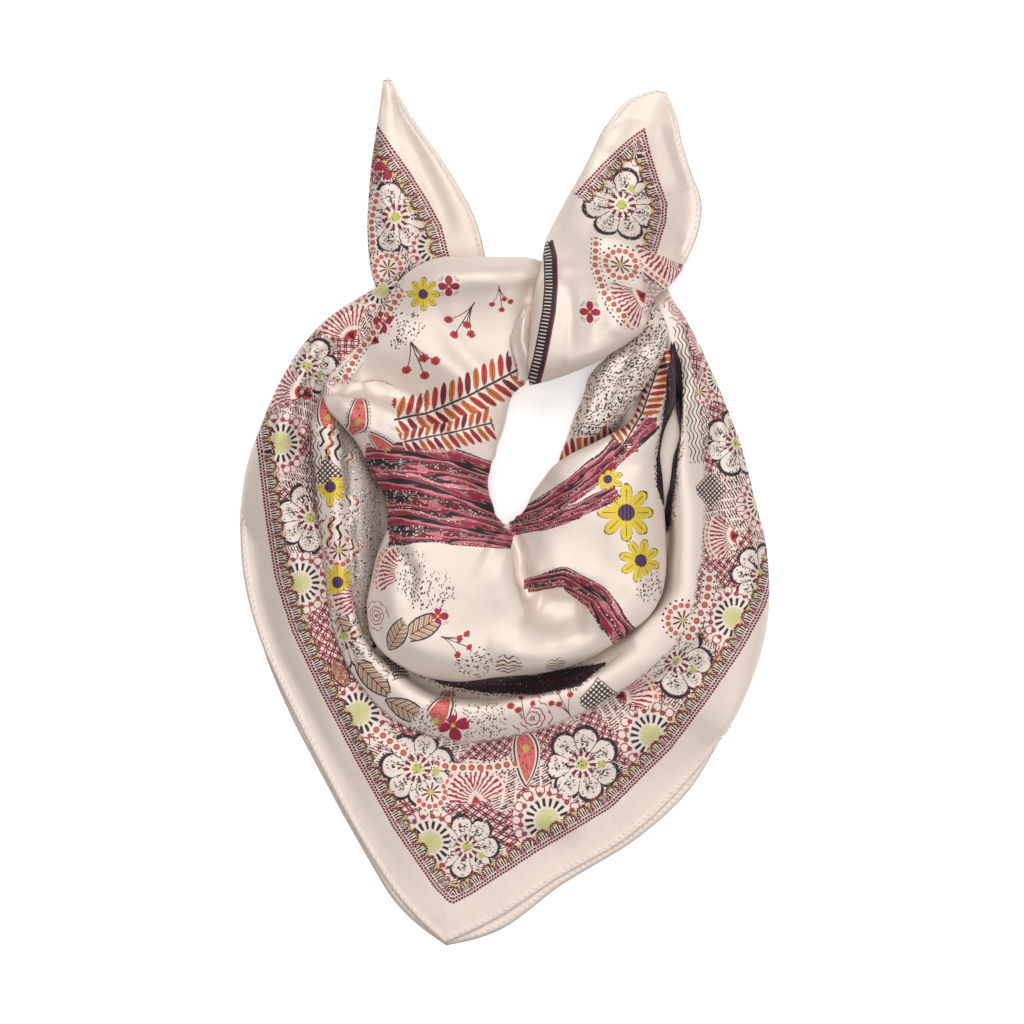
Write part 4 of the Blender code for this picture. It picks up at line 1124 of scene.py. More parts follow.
# How far scallops and strokes fill the ground between the motifs, from 0 to 1.
def fillingOf(key):
    grid = grids[key]
    x, y = grid[..., 0], grid[..., 1]
    if key == "drape":
        arm = (x > 60) & (y > -90)
        shoulder = (x < -40) & (y > 40)
        rest = np.where(shoulder, 1.0, faded(filledDepth - borderOf(key)[0]))
        return outerPanel(grid) * np.where(arm, faded(besideLine(grid, fillEdges["arm"])[0]), rest)
    if key == "knot":
        return faded(x - 74) * faded(y - 104, 4) * faded(216 - y, 4)
    if key == "loop":
        return faded(-besideLine(grid, fillEdges["back"])[0]) * faded(y - 62, 4)
    return np.full(grid.shape[:2], float(key == "ear"))


motifReach = 1.02  # in radii: a face further out holds no motif
bandReach = 0.8  # of a band's half width, against a spot's radius


# One motif for each face: (place across, place along, code) at its corners.
def printed(key, obj, faces):
    grid = grids[key]
    normal = normalsOf(grid)
    rows, cols = grid.shape[:2]
    cells = (rows - 1) * (cols - 1)
    best = np.full((rows - 1, cols - 1), motifReach)
    chosen = np.zeros((rows - 1, cols - 1), int)
    fields = [(np.zeros((rows, cols)), np.zeros((rows, cols)), 0)]

    def cellMean(values):
        return (values[:-1, :-1] + values[1:, :-1] + values[:-1, 1:] + values[1:, 1:]) / 4

    def offered(a, b, reach, seen, code):
        nonlocal best, chosen
        inside = (cellMean(reach) < best) & (cellMean(seen.astype(float)) > 0.99)
        best = np.where(inside, cellMean(reach), best)
        chosen = np.where(inside, len(fields), chosen)
        fields.append((a, b, code))

    spots = list(motifSpots.get(key, []))
    panel = np.zeros((rows, cols), bool)
    if key == "drape":
        panel = outerPanel(grid)
        for name, side, far, deep, radius, turn in hemSpots:
            spots.append((name, *insideHem(side, far, deep), radius, turn))
    for name, x, y, radius, turn in spots:
        a, b, seen, place = aboutSpot(grid, normal, x, y, radius, turn)
        offered(a, b, np.hypot(a, b), seen & (panel == panel[place]), motifCodes[name])
    for name, width, line in motifBands.get(key, []):
        off, along = besideLine(grid, line)
        total = along.max()
        first, last = width if isinstance(width, tuple) else (width, width)
        halfWidth = first + (last - first) * along / total
        # Bands of painted shade narrow towards their ends.
        if name == "thatch":
            halfWidth = halfWidth * np.clip(8 * np.minimum(along, total - along) / total, 0.2, 1)
        inside = (along > 0) & (along < total)
        reach = np.abs(off) / halfWidth * bandReach
        offered(off / halfWidth, along * 2 / (first + last), reach, inside, motifCodes[name])
    a = np.stack([f[0] for f in fields])
    b = np.stack([f[1] for f in fields])
    codes = np.array([f[2] for f in fields], float)
    owner = chosen.reshape(-1)
    owners = np.concatenate([owner, owner, np.zeros(len(faces) - 2 * cells, int)])
    corner = faces % (rows * cols)
    flatA = a.reshape(len(fields), -1)
    flatB = b.reshape(len(fields), -1)
    values = np.stack(
        [
            flatA[owners[:, None], corner],
            flatB[owners[:, None], corner],
            codes[owners][:, None] + np.zeros(corner.shape),
        ],
        axis=2,
    )
    attribute = obj.data.attributes.new("motif", "FLOAT_VECTOR", "CORNER")
    attribute.data.foreach_set("vector", values.astype(np.float32).ravel())


# A value in a shader tree. Arithmetic on it adds Math nodes.
class Wire:
    def __init__(self, tree, socket):
        self.tree = tree
        self.socket = socket

    def __add__(self, other):
        return maths("ADD", self, other)

    def __sub__(self, other):
        return maths("SUBTRACT", self, other)

    def __rsub__(self, other):
        return maths("SUBTRACT", other, self, tree=self.tree)

    def __mul__(self, other):
        return maths("MULTIPLY", self, other)

    def __truediv__(self, other):
        return maths("DIVIDE", self, other)

    __radd__ = __add__
    __rmul__ = __mul__


def maths(kind, *values, tree=None, clamp=False):
    tree = tree or values[0].tree
    node = tree.nodes.new("ShaderNodeMath")
    node.operation = kind
    node.use_clamp = clamp
    for socket, value in zip(node.inputs, values):
        if isinstance(value, Wire):
            tree.links.new(value.socket, socket)
        else:
            socket.default_value = value
    return Wire(tree, node.outputs[0])


def size(value):
    return maths("ABSOLUTE", value)


def below(value, edge, blur=0.05):
    return maths("MULTIPLY_ADD", value, -1 / blur, edge / blur + 0.5, clamp=True)


def above(value, edge, blur=0.05):
    return below(edge - value, 0.0, blur)


def near(value, half, blur=0.05):
    return below(size(value), half, blur)


def within(value, middle, half, blur=0.03):
    return near(value - middle, half, blur)


def both(*masks):
    product = masks[0]
    for mask in masks[1:]:
        product = product * mask
    return product


def either(first, second):
    return maths("MAXIMUM", first, second)


def distance(a, b):
    return maths("SQRT", a * a + b * b)


def wave(value):
    return maths("COSINE", value)


# Repeats a value every pitch, about 0.
def repeated(value, pitch):
    return maths("WRAP", value, pitch / 2, -pitch / 2)


def attributeOf(tree, name):
    node = tree.nodes.new("ShaderNodeAttribute")
    node.attribute_name = name
    return node


def parts(tree, socket):
    node = tree.nodes.new("ShaderNodeSeparateXYZ")
    tree.links.new(socket, node.inputs[0])
    return [Wire(tree, output) for output in node.outputs]


def painted(tree, base, colour, mask):
    node = tree.nodes.new("ShaderNodeMix")
    node.data_type = "RGBA"
    tree.links.new(mask.socket, node.inputs["Factor"])
    for name, value in (("A", base), ("B", colour)):
        socket = [s for s in node.inputs if s.name == name and s.type == "RGBA"][0]
        if isinstance(value, tuple):
            socket.default_value = (*value, 1)
        else:
            tree.links.new(value, socket)
    return [s for s in node.outputs if s.type == "RGBA"][0]


def clothPlace(tree):
    node = tree.nodes.new("ShaderNodeUVMap")
    node.uv_map = "cloth"
    return node.outputs[0]


def scaled(tree, socket, factors):
    node = tree.nodes.new("ShaderNodeVectorMath")
    node.operation = "MULTIPLY"
    tree.links.new(socket, node.inputs[0])
    node.inputs[1].default_value = factors
    return node.outputs[0]


def noiseOf(tree, socket, detail=2.0, scale=1.0):
    node = tree.nodes.new("ShaderNodeTexNoise")
    node.inputs["Scale"].default_value = scale
    node.inputs["Detail"].default_value = detail
    tree.links.new(socket, node.inputs["Vector"])
    return Wire(tree, node.outputs[0])


ink = {
    "black": (0.011, 0.006, 0.016),
    "maroon": (0.17, 0.007, 0.02),
    "crimson": (0.36, 0.012, 0.05),
    "red": (0.52, 0.025, 0.02),
    "coral": (0.66, 0.11, 0.06),
    "orange": (0.62, 0.15, 0.02),
    "pink": (0.70, 0.19, 0.23),
    "lime": (0.50, 0.50, 0.10),
    "yellow": (0.78, 0.57, 0.03),
    "olive": (0.22, 0.20, 0.08),
    "purple": (0.11, 0.04, 0.17),
    "rust": (0.20, 0.05, 0.015),
    "ground": (0.80, 0.69, 0.62),
}


def groupOf(name, outputs, inputs):
    tree = bpy.data.node_groups.new(name, "ShaderNodeTree")
    for label, kind in outputs:
        tree.interface.new_socket(label, in_out="OUTPUT", socket_type=kind)
    for label, kind, value in inputs:
        tree.interface.new_socket(label, in_out="INPUT", socket_type=kind).default_value = value
    return tree, tree.nodes.new("NodeGroupInput"), tree.nodes.new("NodeGroupOutput")


# The edging of the square: rows of dots, ticks, a beaded scallop and lime dashes, along the hems.
def edgingGroup():
    tree, given, out = groupOf(
        "borderEdging",
        [("Color", "NodeSocketColor")],
        [
            ("Print", "NodeSocketColor", (1, 1, 1, 1)),
            ("Ground", "NodeSocketColor", (1, 1, 1, 1)),
            ("Start", "NodeSocketFloat", 19.2),
        ],
    )
    away = Wire(tree, attributeOf(tree, "borderAway").outputs["Fac"])
    along = Wire(tree, attributeOf(tree, "borderAlong").outputs["Fac"])
    place = scaled(tree, clothPlace(tree), (300, 300, 300))
    shake = noiseOf(tree, place) - 0.5
    depth = away - Wire(tree, given.outputs["Start"]) + shake * 0.8
    run = along + shake * 0.6
    across = repeated(run, 8.6)
    rise = depth - 5.0
    reach = distance(across, maths("MAXIMUM", rise, 0.0))
    plain = both(below(depth, 8.0, 0.3), above(reach, 3.9, 0.3))
    bare = either(plain, below(reach, 4.0, 0.3))
    colour = painted(tree, given.outputs["Print"], given.outputs["Ground"], bare)
    for row, shift in ((0.0, 0.0), (1.7, 0.85)):
        dot = distance(depth - row, repeated(run + shift, 1.7))
        colour = painted(tree, colour, ink["maroon"], below(dot, 0.74, 0.3))
    ticks = both(near(repeated(across + rise * across * -0.06, 1.4), 0.42, 0.2), below(reach, 2.8, 0.3))
    colour = painted(tree, colour, ink["black"], both(ticks, above(depth, 2.9, 0.3)))
    beaded = 0.7 + wave((across + rise) * 3.4) * 0.38
    arch = both(below(size(reach - 3.5) - beaded, 0.0, 0.25), above(depth, 2.6, 0.3))
    colour = painted(tree, colour, ink["maroon"], arch)
    dash = both(near(depth - 7.4, 0.6, 0.3), above(size(across), 2.9, 0.3))
    colour = painted(tree, colour, ink["lime"], dash)
    colour = painted(tree, colour, ink["lime"], below(distance(across, rise - 1.6), 0.75, 0.3))
    tree.links.new(colour, out.inputs["Color"])
    return tree


# Every motif of the print, each drawn about its own middle, -1 to 1.
def motifGroup():
    tree, given, out = groupOf(
        "printedMotifs", [("Color", "NodeSocketColor")], [("Ground", "NodeSocketColor", (1, 1, 1, 1))]
    )
    a, b, code = parts(tree, attributeOf(tree, "motif").outputs["Vector"])
    place = scaled(tree, clothPlace(tree), (1000, 1000, 1000))
    shake = noiseOf(tree, place, 2.0, 0.45) - 0.5
    a = a + shake * 0.05
    b = b + shake * 0.05
    r = distance(a, b)
    angle = maths("ARCTAN2", b, a)
    cell = tree.nodes.new("ShaderNodeTexVoronoi")
    cell.inputs["Scale"].default_value = 0.74
    tree.links.new(place, cell.inputs["Vector"])
    spot = Wire(tree, cell.outputs["Distance"])
    chance, otherChance, _ = parts(tree, cell.outputs["Color"])
    speck = below(spot, 0.3, 0.1)
    streak = noiseOf(tree, place, 3.0, 0.8)
    colour = given.outputs["Ground"]

    def paint(name, mask, *which):
        nonlocal colour
        chosen = given.outputs["Ground"] if name == "ground" else ink[name]
        colour = painted(tree, colour, chosen, both(mask, *which))

    def isCode(name):
        return near(code - motifCodes[name], 0.5, 0.2)

    # Between the motifs: linked scallops, bristling strokes and specks.
    on = Wire(tree, attributeOf(tree, "filling").outputs["Fac"])
    u, v, _ = parts(tree, place)
    patch = noiseOf(tree, place, 0.0, 0.05)
    linked, bristly = above(patch, 0.5, 0.02), below(patch, 0.49, 0.02)
    for shift in (0.0, 2.6):
        ring = distance(repeated(u + shift, 5.2), repeated(v + shift, 5.2))
        ringOff = size(ring - 2.5) + (streak - 0.5) * 0.6
        paint("crimson" if shift else "maroon", below(ringOff, 0.36, 0.25), on, linked)
    bristle = near(repeated(u + v * 0.35 + (streak - 0.5) * 1.6, 1.5), 0.34, 0.2)
    paint("maroon", bristle, near(repeated(v + u * 0.2, 5.0), 2.0, 0.3), on, bristly)
    paint("black", below(spot, 0.36, 0.1), below(chance, 0.62, 0.1), on)

    on = isCode("rosette")
    petals = size(wave(angle * 3.5))
    rim = 0.66 + maths("POWER", petals, 0.5) * 0.28
    inside = below(r, rim, 0.04)
    paint("ground", inside, on)
    paint("black", speck, inside, below(chance + r * 0.55, 0.95, 0.1), on)
    paint("black", near(r - rim, 0.055, 0.03), above(streak, 0.34, 0.05), on)
    paint("black", above(streak, 0.52, 0.04), above(petals, 0.8, 0.2), within(r, 0.5, 0.2, 0.1), on)
    paint("black", below(petals, 0.07, 0.06), inside, above(r, 0.34, 0.05), below(streak, 0.62, 0.1), on)
    paint("maroon", within(r, 0.27, 0.08), on, above(wave(angle * 11), 0.0, 0.4))
    paint("lime", below(distance(a - 0.42, b + 0.25), 0.09, 0.06), on)
    paint("lime", below(r, 0.13, 0.06), below(speck, 0.5, 0.1), on)

    on = isCode("sunburst")
    fan = below(repeatedArc(angle, 18), 0.62 - r * 0.25, 0.15)
    paint("ground", below(r, 0.98, 0.03), on)
    hairs = below(repeatedArc(angle, 31), 0.84 - r * 0.9, 0.15)
    paint("lime", below(r + shake * 0.12, 0.34, 0.06), hairs, on)
    paint("black", fan, within(r, 0.5, 0.12, 0.05), on)
    bead = beadRing(angle, r, 17, 0.75)
    paint("maroon", below(bead, 0.075, 0.04), on)
    paint("coral", below(bead, 0.03, 0.03), on)
    paint("crimson", near(beadRing(angle, r, 14, 0.87) - 0.13, 0.018, 0.02), on)

    on = isCode("palmette")
    low = b + 0.85
    reach = distance(a, low)
    spread = maths("ARCTAN2", a, low)
    opened = near(spread, 0.85, 0.05)
    ray = above(wave(spread * 40 + shake * 5.0), 0.1, 0.4)
    paint("ground", opened, below(reach, 1.7, 0.04), on)
    paint("crimson", ray, opened, within(reach, 1.0, 0.42, 0.05), on)
    paint("red", below(reach, 0.42, 0.05), opened, on)
    paint("black", below(reach, 0.34, 0.04), near(spread, 0.4, 0.06), on)
    paint("coral", opened, within(reach, 1.56, 0.055), near(repeated(spread, 0.16), 0.05, 0.03), on)
    paint("black", opened, within(reach, 1.72, 0.03), near(repeated(spread, 0.11), 0.03, 0.02), on)

    on = isCode("paisley")
    t = maths("MULTIPLY_ADD", b, 0.52, 0.5, clamp=True)
    bent = a - (t * t) * 0.5 + 0.12
    wide = maths("SQRT", t) * maths("POWER", 1.0 - t, 0.8) * 1.05
    gone = size(bent) - wide
    paint("ground", below(gone, 0.12, 0.03), on)
    paint("coral", below(gone, -0.1, 0.05), on)
    paint("pink", below(gone, -0.18, 0.05), below(streak, 0.5, 0.2), on)
    paint("black", near(gone, 0.035, 0.03), on)
    paint("black", speck, below(gone, -0.12, 0.05), below(chance, 0.55, 0.1), on)
    paint("maroon", within(gone, 0.11, 0.02), on, near(repeated(b, 0.16), 0.05, 0.03))
    paint("lime", below(distance(bent * 1.2, b + 0.35), 0.14, 0.05), on)

    on = isCode("plume")
    slim = 0.42 * (1.0 - a * a)
    leafEdge = size(b) - slim
    rib = wave((a - size(b) * 0.8) * 26)
    paint("olive", below(leafEdge, -0.03, 0.05), above(rib, 0.1, 0.5), on)
    paint("black", either(near(leafEdge, 0.035, 0.03), both(near(b, 0.02, 0.02), below(leafEdge, 0.0))), on)
    paint("coral", below(leafEdge, -0.05, 0.04), below(0.75 + rib, 0.0, 0.2), on)

    on = isCode("berries")
    for x, y, dark in ((-0.55, 0.35, 0), (0.05, 0.72, 1), (0.58, 0.28, 0), (-0.2, 0.1, 1)):
        way = maths("MULTIPLY_ADD", b + 0.9, 1 / (y + 0.9), 0.0, clamp=True)
        stem = size(a - way * way * x)
        paint("black" if dark else "maroon", below(stem, 0.022, 0.02), below(b, y), below(-0.9 - b, 0.0), on)
        head = distance(a - x, (b - y) * 1.25)
        paint("red", below(head, 0.17, 0.04), on)
        paint("maroon", near(a - x, 0.02, 0.02), below(head, 0.14, 0.04), on)
        paint("black", near(head - 0.18, 0.018, 0.02), below(streak, 0.5, 0.1), on)

    on = isCode("daisy")
    petal = maths("POWER", size(wave(angle * 4)), 0.6)
    tip = 0.3 + petal * 0.62
    paint("yellow", below(r, tip, 0.04), on)
    paint("black", near(r - tip, 0.025, 0.025), below(streak, 0.58, 0.1), on)
    paint("olive", near(repeatedArc(angle, 8), 0.08, 0.05), within(r, 0.55, 0.2), on)
    paint("purple", below(r, 0.27, 0.04), on)
    paint("black", below(r, 0.27, 0.04), near(repeated(a, 0.12), 0.025, 0.02), on)

    on = isCode("lattice")
    lozenge = size(a) + size(b)
    crossing = either(near(repeated(a + b, 0.24), 0.05, 0.03), near(repeated(a - b, 0.24), 0.05, 0.03))
    paint("ground", below(lozenge, 0.98, 0.02), on)
    paint("black", crossing, below(lozenge, 0.9, 0.03), on)
    paint("maroon", within(lozenge, 0.95, 0.03), on)

    on = isCode("wreath")
    bead = beadRing(angle, r, 15, 0.66)
    paint("ground", below(r, 0.96, 0.03), on)
    paint("coral", below(bead, 0.095, 0.04), on)
    paint("maroon", within(bead, 0.1, 0.012, 0.02), on)
    paint("black", below(beadRing(angle, r, 20, 0.89), 0.05, 0.03), on)
    star = below(repeatedArc(angle, 9), 0.75 - r * 1.1, 0.1)
    paint("maroon", star, below(r, 0.46, 0.04), on)
    paint("lime", below(r, 0.12, 0.04), on)

    on = isCode("dashes")
    paint("black", below(spot, 0.43, 0.1), below(r * 0.35 + chance, 1.08, 0.05), on)

    on = isCode("stipple")
    paint("black", below(spot, 0.36, 0.1), below(r + chance * 0.9, 1.3, 0.1), on)
    paint("maroon", speck, below(r + otherChance * 2.2, 1.1, 0.1), on)

    on = isCode("squiggles")
    thread = wave(b * 17 + wave(a * 9) * 1.6 + shake * 2.0)
    paint("black", above(thread, 0.55, 0.3), below(r, 0.9, 0.06), on)
    paint("orange", within(b + wave(a * 15) * 0.07, 0.0, 0.045), below(r, 0.85), on)

    on = isCode("lace")
    for count, middle, ring in ((9, 0.62, 0.3), (7, 0.32, 0.25)):
        loops = size(beadRing(angle, r, count, middle) - ring)
        paint("crimson", below(loops, 0.028, 0.025), on)
    paint("black", speck, below(r, 0.2), on)

    on = isCode("blossom")
    lobes = maths("POWER", size(wave(angle * 2)), 0.55)
    paint("crimson", below(r, lobes * 0.85, 0.05), on)
    paint("black", near(repeated(a + b, 0.18), 0.03, 0.02), within(r, 0.82, 0.14), below(lobes, 0.72), on)
    paint("yellow", below(r, 0.1, 0.05), on)

    # Bands: a is across and b along, in half widths.
    on = isCode("ribbon")
    flow = noiseOf(tree, scaledPair(tree, a, b, 1.0, 0.16), 2.0, 1.5)
    lane = a * 0.5 + (flow - 0.5) * 0.8
    fray = below(size(a) + (flow - 0.5) * 1.1 + (streak - 0.5) * 0.3, 0.93, 0.06)
    scribble = both(speck, below(chance, 0.7, 0.1))
    for name, middle, half in (
        ("crimson", -0.53, 0.04), ("pink", -0.45, 0.04), ("black", -0.365, 0.045), ("crimson", -0.28, 0.04),
        ("pink", -0.21, 0.025), ("maroon", -0.16, 0.025), ("black", -0.09, 0.045), ("crimson", 0.0, 0.045),
        ("pink", 0.07, 0.03), ("black", 0.145, 0.045), ("crimson", 0.23, 0.04), ("maroon", 0.29, 0.02),
        ("pink", 0.35, 0.035), ("black", 0.435, 0.045), ("crimson", 0.52, 0.04),
    ):
        paint(name, both(within(lane, middle, half, 0.02), fray), on)
    paint("ground", scribble, near(repeated(lane + 0.11, 0.45), 0.08, 0.03), fray, on)
    hatch = near(repeated(b + a * 0.6 + shake * 0.4, 0.14), 0.03, 0.02)
    paint("maroon", hatch, below(streak, 0.5, 0.1), fray, near(repeated(lane, 0.24), 0.06, 0.03), on)
    paint("black", within(size(a) + (flow - 0.5) * 1.1, 0.92, 0.035, 0.03), below(streak, 0.58, 0.08), on)

    on = isCode("beads")
    bead = distance(a, repeated(b, 1.35))
    paint("ground", near(a, 0.98), on)
    paint("coral", below(bead, 0.4, 0.1), on)
    paint("maroon", within(bead, 0.42, 0.06, 0.08), on)
    paint("black", below(distance(size(a) - 0.82, repeated(b + 0.4, 0.9)), 0.16, 0.08), on)

    on = isCode("garland")
    step = b / 0.42
    shift = size(a)
    leafRow = step - shift * 1.1
    number = maths("FLOOR", leafRow)
    leafPlace = maths("FRACT", leafRow) - 0.5
    leafShape = distance(leafPlace * 2.9, (shift - 0.52) * 2.3)
    hue = maths("FRACT", number * 0.37 + below(a, 0.0) * 0.41)
    paint("orange", below(leafShape, 1.0, 0.12), on)
    paint("red", below(leafShape, 1.0, 0.12), above(hue, 0.36, 0.02), on)
    paint("maroon", below(leafShape, 1.0, 0.12), above(hue, 0.74, 0.02), on)
    paint("black", near(leafPlace, 0.04, 0.04), below(leafShape, 0.8, 0.1), on)
    paint("rust", within(leafShape, 1.0, 0.08, 0.1), below(streak, 0.55, 0.1), on)
    paint("black", near(a, 0.05, 0.04), on)

    on = isCode("ticks")
    paint("black", within(a, -0.1, 0.84, 0.06), on)
    paint("ground", near(repeated(b, 0.5), 0.075, 0.05), within(a, -0.28, 0.48, 0.1), on)
    paint("maroon", within(a, 0.82, 0.12, 0.05), on)

    # Painted shade for crevices and valleys: mostly black with ragged edges, and a few maroon stalks of
    # print.
    on = isCode("thatch")
    paint("black", below(size(a) + (streak - 0.5) * 0.7, 0.86, 0.08), below(streak, 0.68, 0.04), on)
    stalk = repeated(a * 0.5 + (streak - 0.5) * 0.5, 0.5)
    paint("maroon", near(stalk, 0.04, 0.04), below(chance, 0.5, 0.1), on)

    # Dense black squiggle lines: print, laid thick as painted shade in the left valley.
    on = isCode("scrawl")
    curl = noiseOf(tree, place, 1.0, 0.34)
    ragged = below(size(a) + (streak - 0.5) * 0.6, 0.95, 0.1)
    paint("black", near(repeated(curl, 0.085), 0.017, 0.01), ragged, on)

    on = isCode("waves")
    ripple = a + wave(b * 4.5) * 0.14
    paint("black", near(repeated(ripple, 0.36), 0.05, 0.05), near(a, 0.8), on)

    tree.links.new(colour, out.inputs["Color"])
    return tree


def repeatedArc(angle, count):
    return size(repeated(angle, 2 * math.pi / count)) * (count / math.pi)


# Distance from the nearest of a ring of beads.
def beadRing(angle, r, count, middle):
    turn = repeated(angle, 2 * math.pi / count)
    return distance(r * wave(turn) - middle, r * maths("SINE", turn))


def scaledPair(tree, a, b, alongA, alongB):
    node = tree.nodes.new("ShaderNodeCombineXYZ")
    tree.links.new((a * alongA).socket, node.inputs[0])
    tree.links.new((b * alongB).socket, node.inputs[1])
    return node.outputs[0]


# (repeats in a metre across, along and through; detail; share of the height)
satinWeave = {
    "floats": ((5200, 900, 1), 2.0, 0.35),
    "slubs": ((40, 900, 1), 1.0, 0.2),
    "creases": ((110, 80, 1), 2.0, 0.45),
}


# Silk satin: long floating threads one way, faint slubs, and soft creasing.
def satinGroup():
    tree, given, out = groupOf(
        "silkSatin",
        [("Color", "NodeSocketColor"), ("Height", "NodeSocketFloat"), ("Roughness", "NodeSocketFloat")],
        [("Ink", "NodeSocketColor", (1, 1, 1, 1)), ("Gloss", "NodeSocketFloat", 0.38)],
    )
    place = clothPlace(tree)
    floats, slubs, creases = (
        noiseOf(tree, scaled(tree, place, scale), detail) for scale, detail, _ in satinWeave.values()
    )
    shares = [share for _, _, share in satinWeave.values()]
    height = floats * shares[0] + slubs * shares[1] + creases * shares[2]
    tree.links.new(height.socket, out.inputs["Height"])
    rough = Wire(tree, given.outputs["Gloss"]) + (floats - 0.5) * 0.12
    tree.links.new(rough.socket, out.inputs["Roughness"])
    tone = maths("MULTIPLY", 1.0 - (floats * 0.6 + slubs * 0.4), 0.15)
    shaded = painted(tree, given.outputs["Ink"], (0.42, 0.30, 0.26), tone)
    tree.links.new(shaded, out.inputs["Color"])
    return tree


silkFinish = {
    "ground": (0.84, 0.72, 0.64), "gloss": 0.48, "lustre": 0.34, "sheen": 0.01, "crease": 0.4,
    "specular": 0.22, "creaseDepth": 0.0004, "sheenRoughness": 0.35,
}


def silkMaterial(name, printedOn):
    ground = (*silkFinish["ground"], 1)
    material = bpy.data.materials.new(name)
    material.use_nodes = True
    tree = material.node_tree
    shader = tree.nodes["Principled BSDF"]
    satin = tree.nodes.new("ShaderNodeGroup")
    satin.node_tree = silkSatin
    satin.inputs["Gloss"].default_value = silkFinish["gloss"]
    satin.inputs["Ink"].default_value = ground
    if printedOn:
        edging = tree.nodes.new("ShaderNodeGroup")
        edging.node_tree = borderEdging
        motifs = tree.nodes.new("ShaderNodeGroup")
        motifs.node_tree = printedMotifs
        motifs.inputs["Ground"].default_value = ground
        edging.inputs["Ground"].default_value = ground
        tree.links.new(motifs.outputs["Color"], edging.inputs["Print"])
        tree.links.new(edging.outputs["Color"], satin.inputs["Ink"])
    tree.links.new(satin.outputs["Color"], shader.inputs["Base Color"])
    tree.links.new(satin.outputs["Roughness"], shader.inputs["Roughness"])
    bump = tree.nodes.new("ShaderNodeBump")
    bump.inputs["Strength"].default_value = silkFinish["crease"]
    bump.inputs["Distance"].default_value = silkFinish["creaseDepth"]
    tree.links.new(satin.outputs["Height"], bump.inputs["Height"])
    tree.links.new(bump.outputs["Normal"], shader.inputs["Normal"])
    shader.inputs["Sheen Weight"].default_value = silkFinish["sheen"]
    shader.inputs["Sheen Roughness"].default_value = silkFinish["sheenRoughness"]
    shader.inputs["Specular IOR Level"].default_value = silkFinish["specular"]
    shader.inputs["Metallic"].default_value = silkFinish["lustre"]
    return material


def plainMaterial(name, colour, roughness, sheen, glow=0.0):
    material = bpy.data.materials.new(name)
    material.use_nodes = True
    shader = material.node_tree.nodes["Principled BSDF"]
    shader.inputs["Base Color"].default_value = (*colour, 1)
    shader.inputs["Roughness"].default_value = roughness
    shader.inputs["Sheen Weight"].default_value = sheen
    shader.inputs["Emission Color"].default_value = (1, 1, 1, 1)
    shader.inputs["Emission Strength"].default_value = glow
    return material


borderEdging = edgingGroup()
printedMotifs = motifGroup()
silkSatin = satinGroup()
printedSilk = silkMaterial("printedSilk", True)
plainSilk = silkMaterial("plainSilk", False)
threadSilk = plainMaterial("hemThread", (0.88, 0.78, 0.70), roughness=0.5, sheen=0.1)
print("materials made, motif nodes:", len(printedMotifs.nodes))


nodeOf = {
    "drape": ("outer_drape", ("front_panel", "middle_fold")),
    "loop": ("neck_loop_cloth", ("neck_loop",)),
    "band": ("right_band_cloth", ("right_neck_band",)),
    "pleat": ("knot_pleat_cloth", ("knot_pleat",)),
    "knot": ("knot_and_ear_cloth", ("knot_and_right_ear",)),
    "ear": ("left_ear_cloth", ("left_ear",)),
    "leaf": ("under_leaf_cloth", ("under_leaf",)),
}
coarse = {
    "drape": (drapeCoarse, int(np.argmin(drapeTable["outY"]))),
    "loop": (loopCoarse, None),
    "band": (bandCoarse, None),
    "pleat": (pleatCoarse, None),
    "knot": (knotCoarse, None),
    "ear": (earCoarse, None),
    "leaf": (leafCoarse, int(np.argmin(leafCoarse[:, -1, 1]))),
}
stitching = stitchTree()
made = {}
hemThreads = {}
for key, (grid, corner) in coarse.items():
    dressed(key, grid, corner)
    half = hemmed(key)
    obj, faces = clothShell(nodeOf[key][0], grids[key], half)
    if key != "leaf":
        borderAway, borderAlong = borderOf(key)
        pointValues(obj, "borderAway", borderAway)
        pointValues(obj, "borderAlong", borderAlong)
        pointValues(obj, "filling", fillingOf(key))
        printed(key, obj, faces)
    obj.data.materials.append(plainSilk if key == "leaf" else printedSilk)
    made[key] = obj
    if key in hemRuns:
        hemThreads[key] = stitched(key + "_hem_stitches", stitchLines(key, half), stitching, threadSilk)
    print(key, grids[key].shape, "faces", len(obj.data.polygons))

# Metres, apart from share, which is the most of their height that they keep.
hiddenShape = {"share": 0.8, "reach": 0.004, "gap": 0.0012, "merge": 0.00002, "under": 0.01}


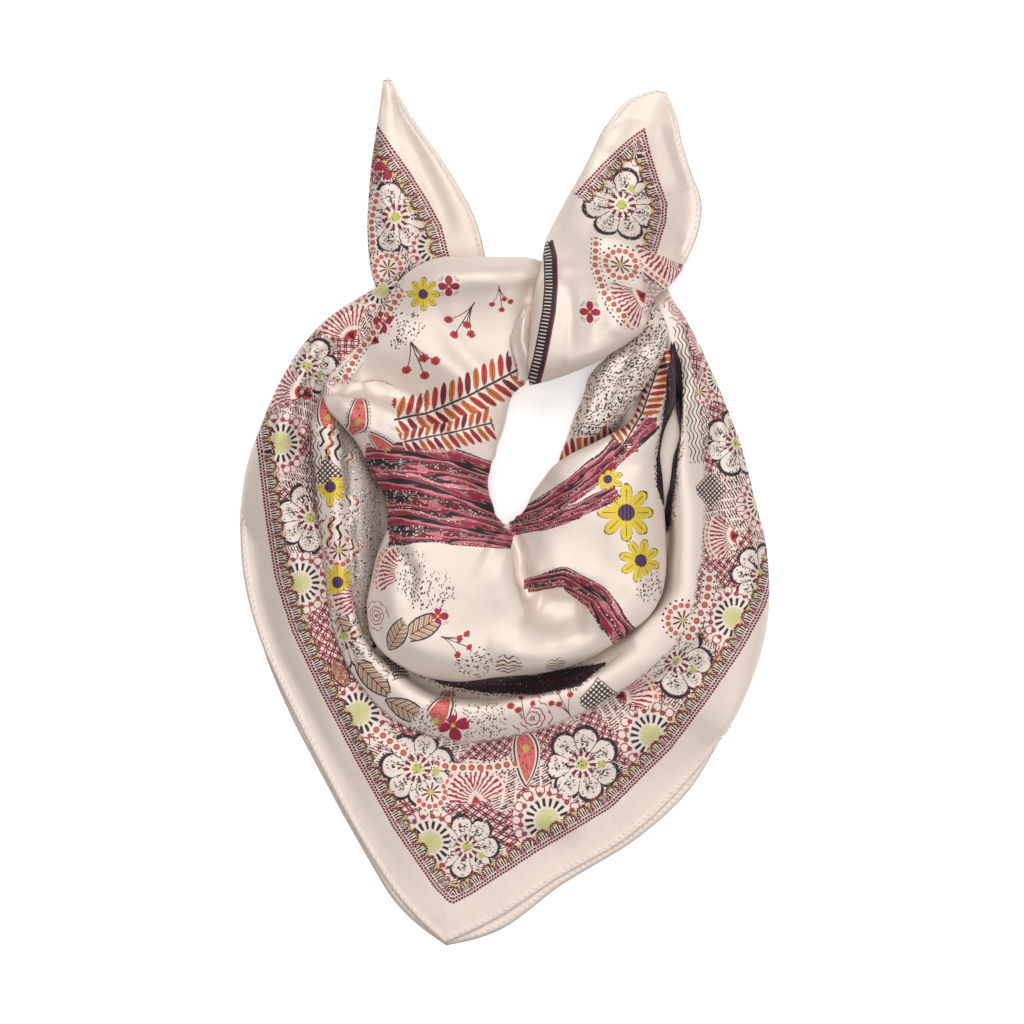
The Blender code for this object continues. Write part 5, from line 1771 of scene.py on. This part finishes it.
# The hidden layers, let down to lie under the folds of the cloth over them.
def hiddenLayers():
    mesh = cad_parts["core_layers"].data.copy()
    obj = placed("hidden_layers", mesh)
    work = bmesh.new()
    work.from_mesh(mesh)
    bmesh.ops.remove_doubles(work, verts=work.verts, dist=hiddenShape["merge"])
    silkOver = surfaceOf(list(made.values()))
    for vertex in work.verts:
        foot = Vector((vertex.co.x, vertex.co.y, -hiddenShape["under"]))
        lowest = vertex.co.z * hiddenShape["share"]
        for turn in range(9):
            angle = turn * math.pi / 4
            reach = 0 if turn == 8 else hiddenShape["reach"]
            start = foot + Vector((math.cos(angle) * reach, math.sin(angle) * reach, 0))
            place = silkOver.ray_cast(start, Vector((0, 0, 1)))[0]
            if place is not None:
                lowest = min(lowest, max(0.0, place.z - hiddenShape["gap"]))
        vertex.co.z = lowest
    work.to_mesh(mesh)
    work.free()
    mesh.materials.clear()
    mesh.materials.append(plainSilk)
    mesh.shade_smooth()
    return obj


core = hiddenLayers()

view = {"middle": (4.1, 0.3), "wide": 563.2, "lens": 135.0, "sensor": 36, "near": 0.05}
floorMesh = bpy.data.meshes.new("floor")
floorHalf = 3  # metres
floorCorners = [(x * floorHalf, y * floorHalf, 0) for x, y in ((-1, -1), (1, -1), (1, 1), (-1, 1))]
floorMesh.from_pydata(floorCorners, [], [(0, 1, 2, 3)])
floor = placed("floor", floorMesh)
paleFloor = plainMaterial("paleFloor", (0.96, 0.96, 0.96), roughness=0.9, sheen=0.0, glow=0.34)
floorMesh.materials.append(paleFloor)

camera = placed("camera", bpy.data.cameras.new("camera"))
camera.data.lens = view["lens"]
camera.data.sensor_width = view["sensor"]
cameraX, cameraY = view["middle"]
camera.location = (cameraX * mm, cameraY * mm, view["wide"] * mm * view["lens"] / view["sensor"])
camera.data.clip_start = view["near"]
bpy.context.scene.camera = camera

# (place in metres, width in metres, watts); each faces the middle
lights = {
    "window": ((0.05, 1.0, 1.4), 0.9, 12.5),
    "overhead": ((0.1, -0.15, 1.8), 1.0, 10.5),
    "low": ((1.1, -0.8, 1.0), 0.8, 5.0),
}
for name, (place, wide, power) in lights.items():
    light = bpy.data.lights.new(name, "AREA")
    light.size = wide
    light.energy = power
    obj = placed(name, light)
    obj.location = place
    obj.rotation_euler = (-Vector(place)).to_track_quat("-Z", "Y").to_euler()
roomLight = 0.24
world = bpy.data.worlds.new("softWhite")
world.use_nodes = True
background = world.node_tree.nodes["Background"]
background.inputs["Color"].default_value = (1, 1, 1, 1)
background.inputs["Strength"].default_value = roomLight
bpy.context.scene.world = world
bpy.context.scene.view_settings.view_transform = "Standard"
print("floor, camera and lights placed")


for key, (name, nodes) in nodeOf.items():
    obj = made[key]
    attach(obj, "root")
    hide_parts(*nodes)
    "plain_silk" if key == "leaf" else "printed_silk"
    threads = [hemThreads[key]] if key in hemThreads else []
    for thread in threads:
        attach(thread, "root")

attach(core, "root")
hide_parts("core_layers")
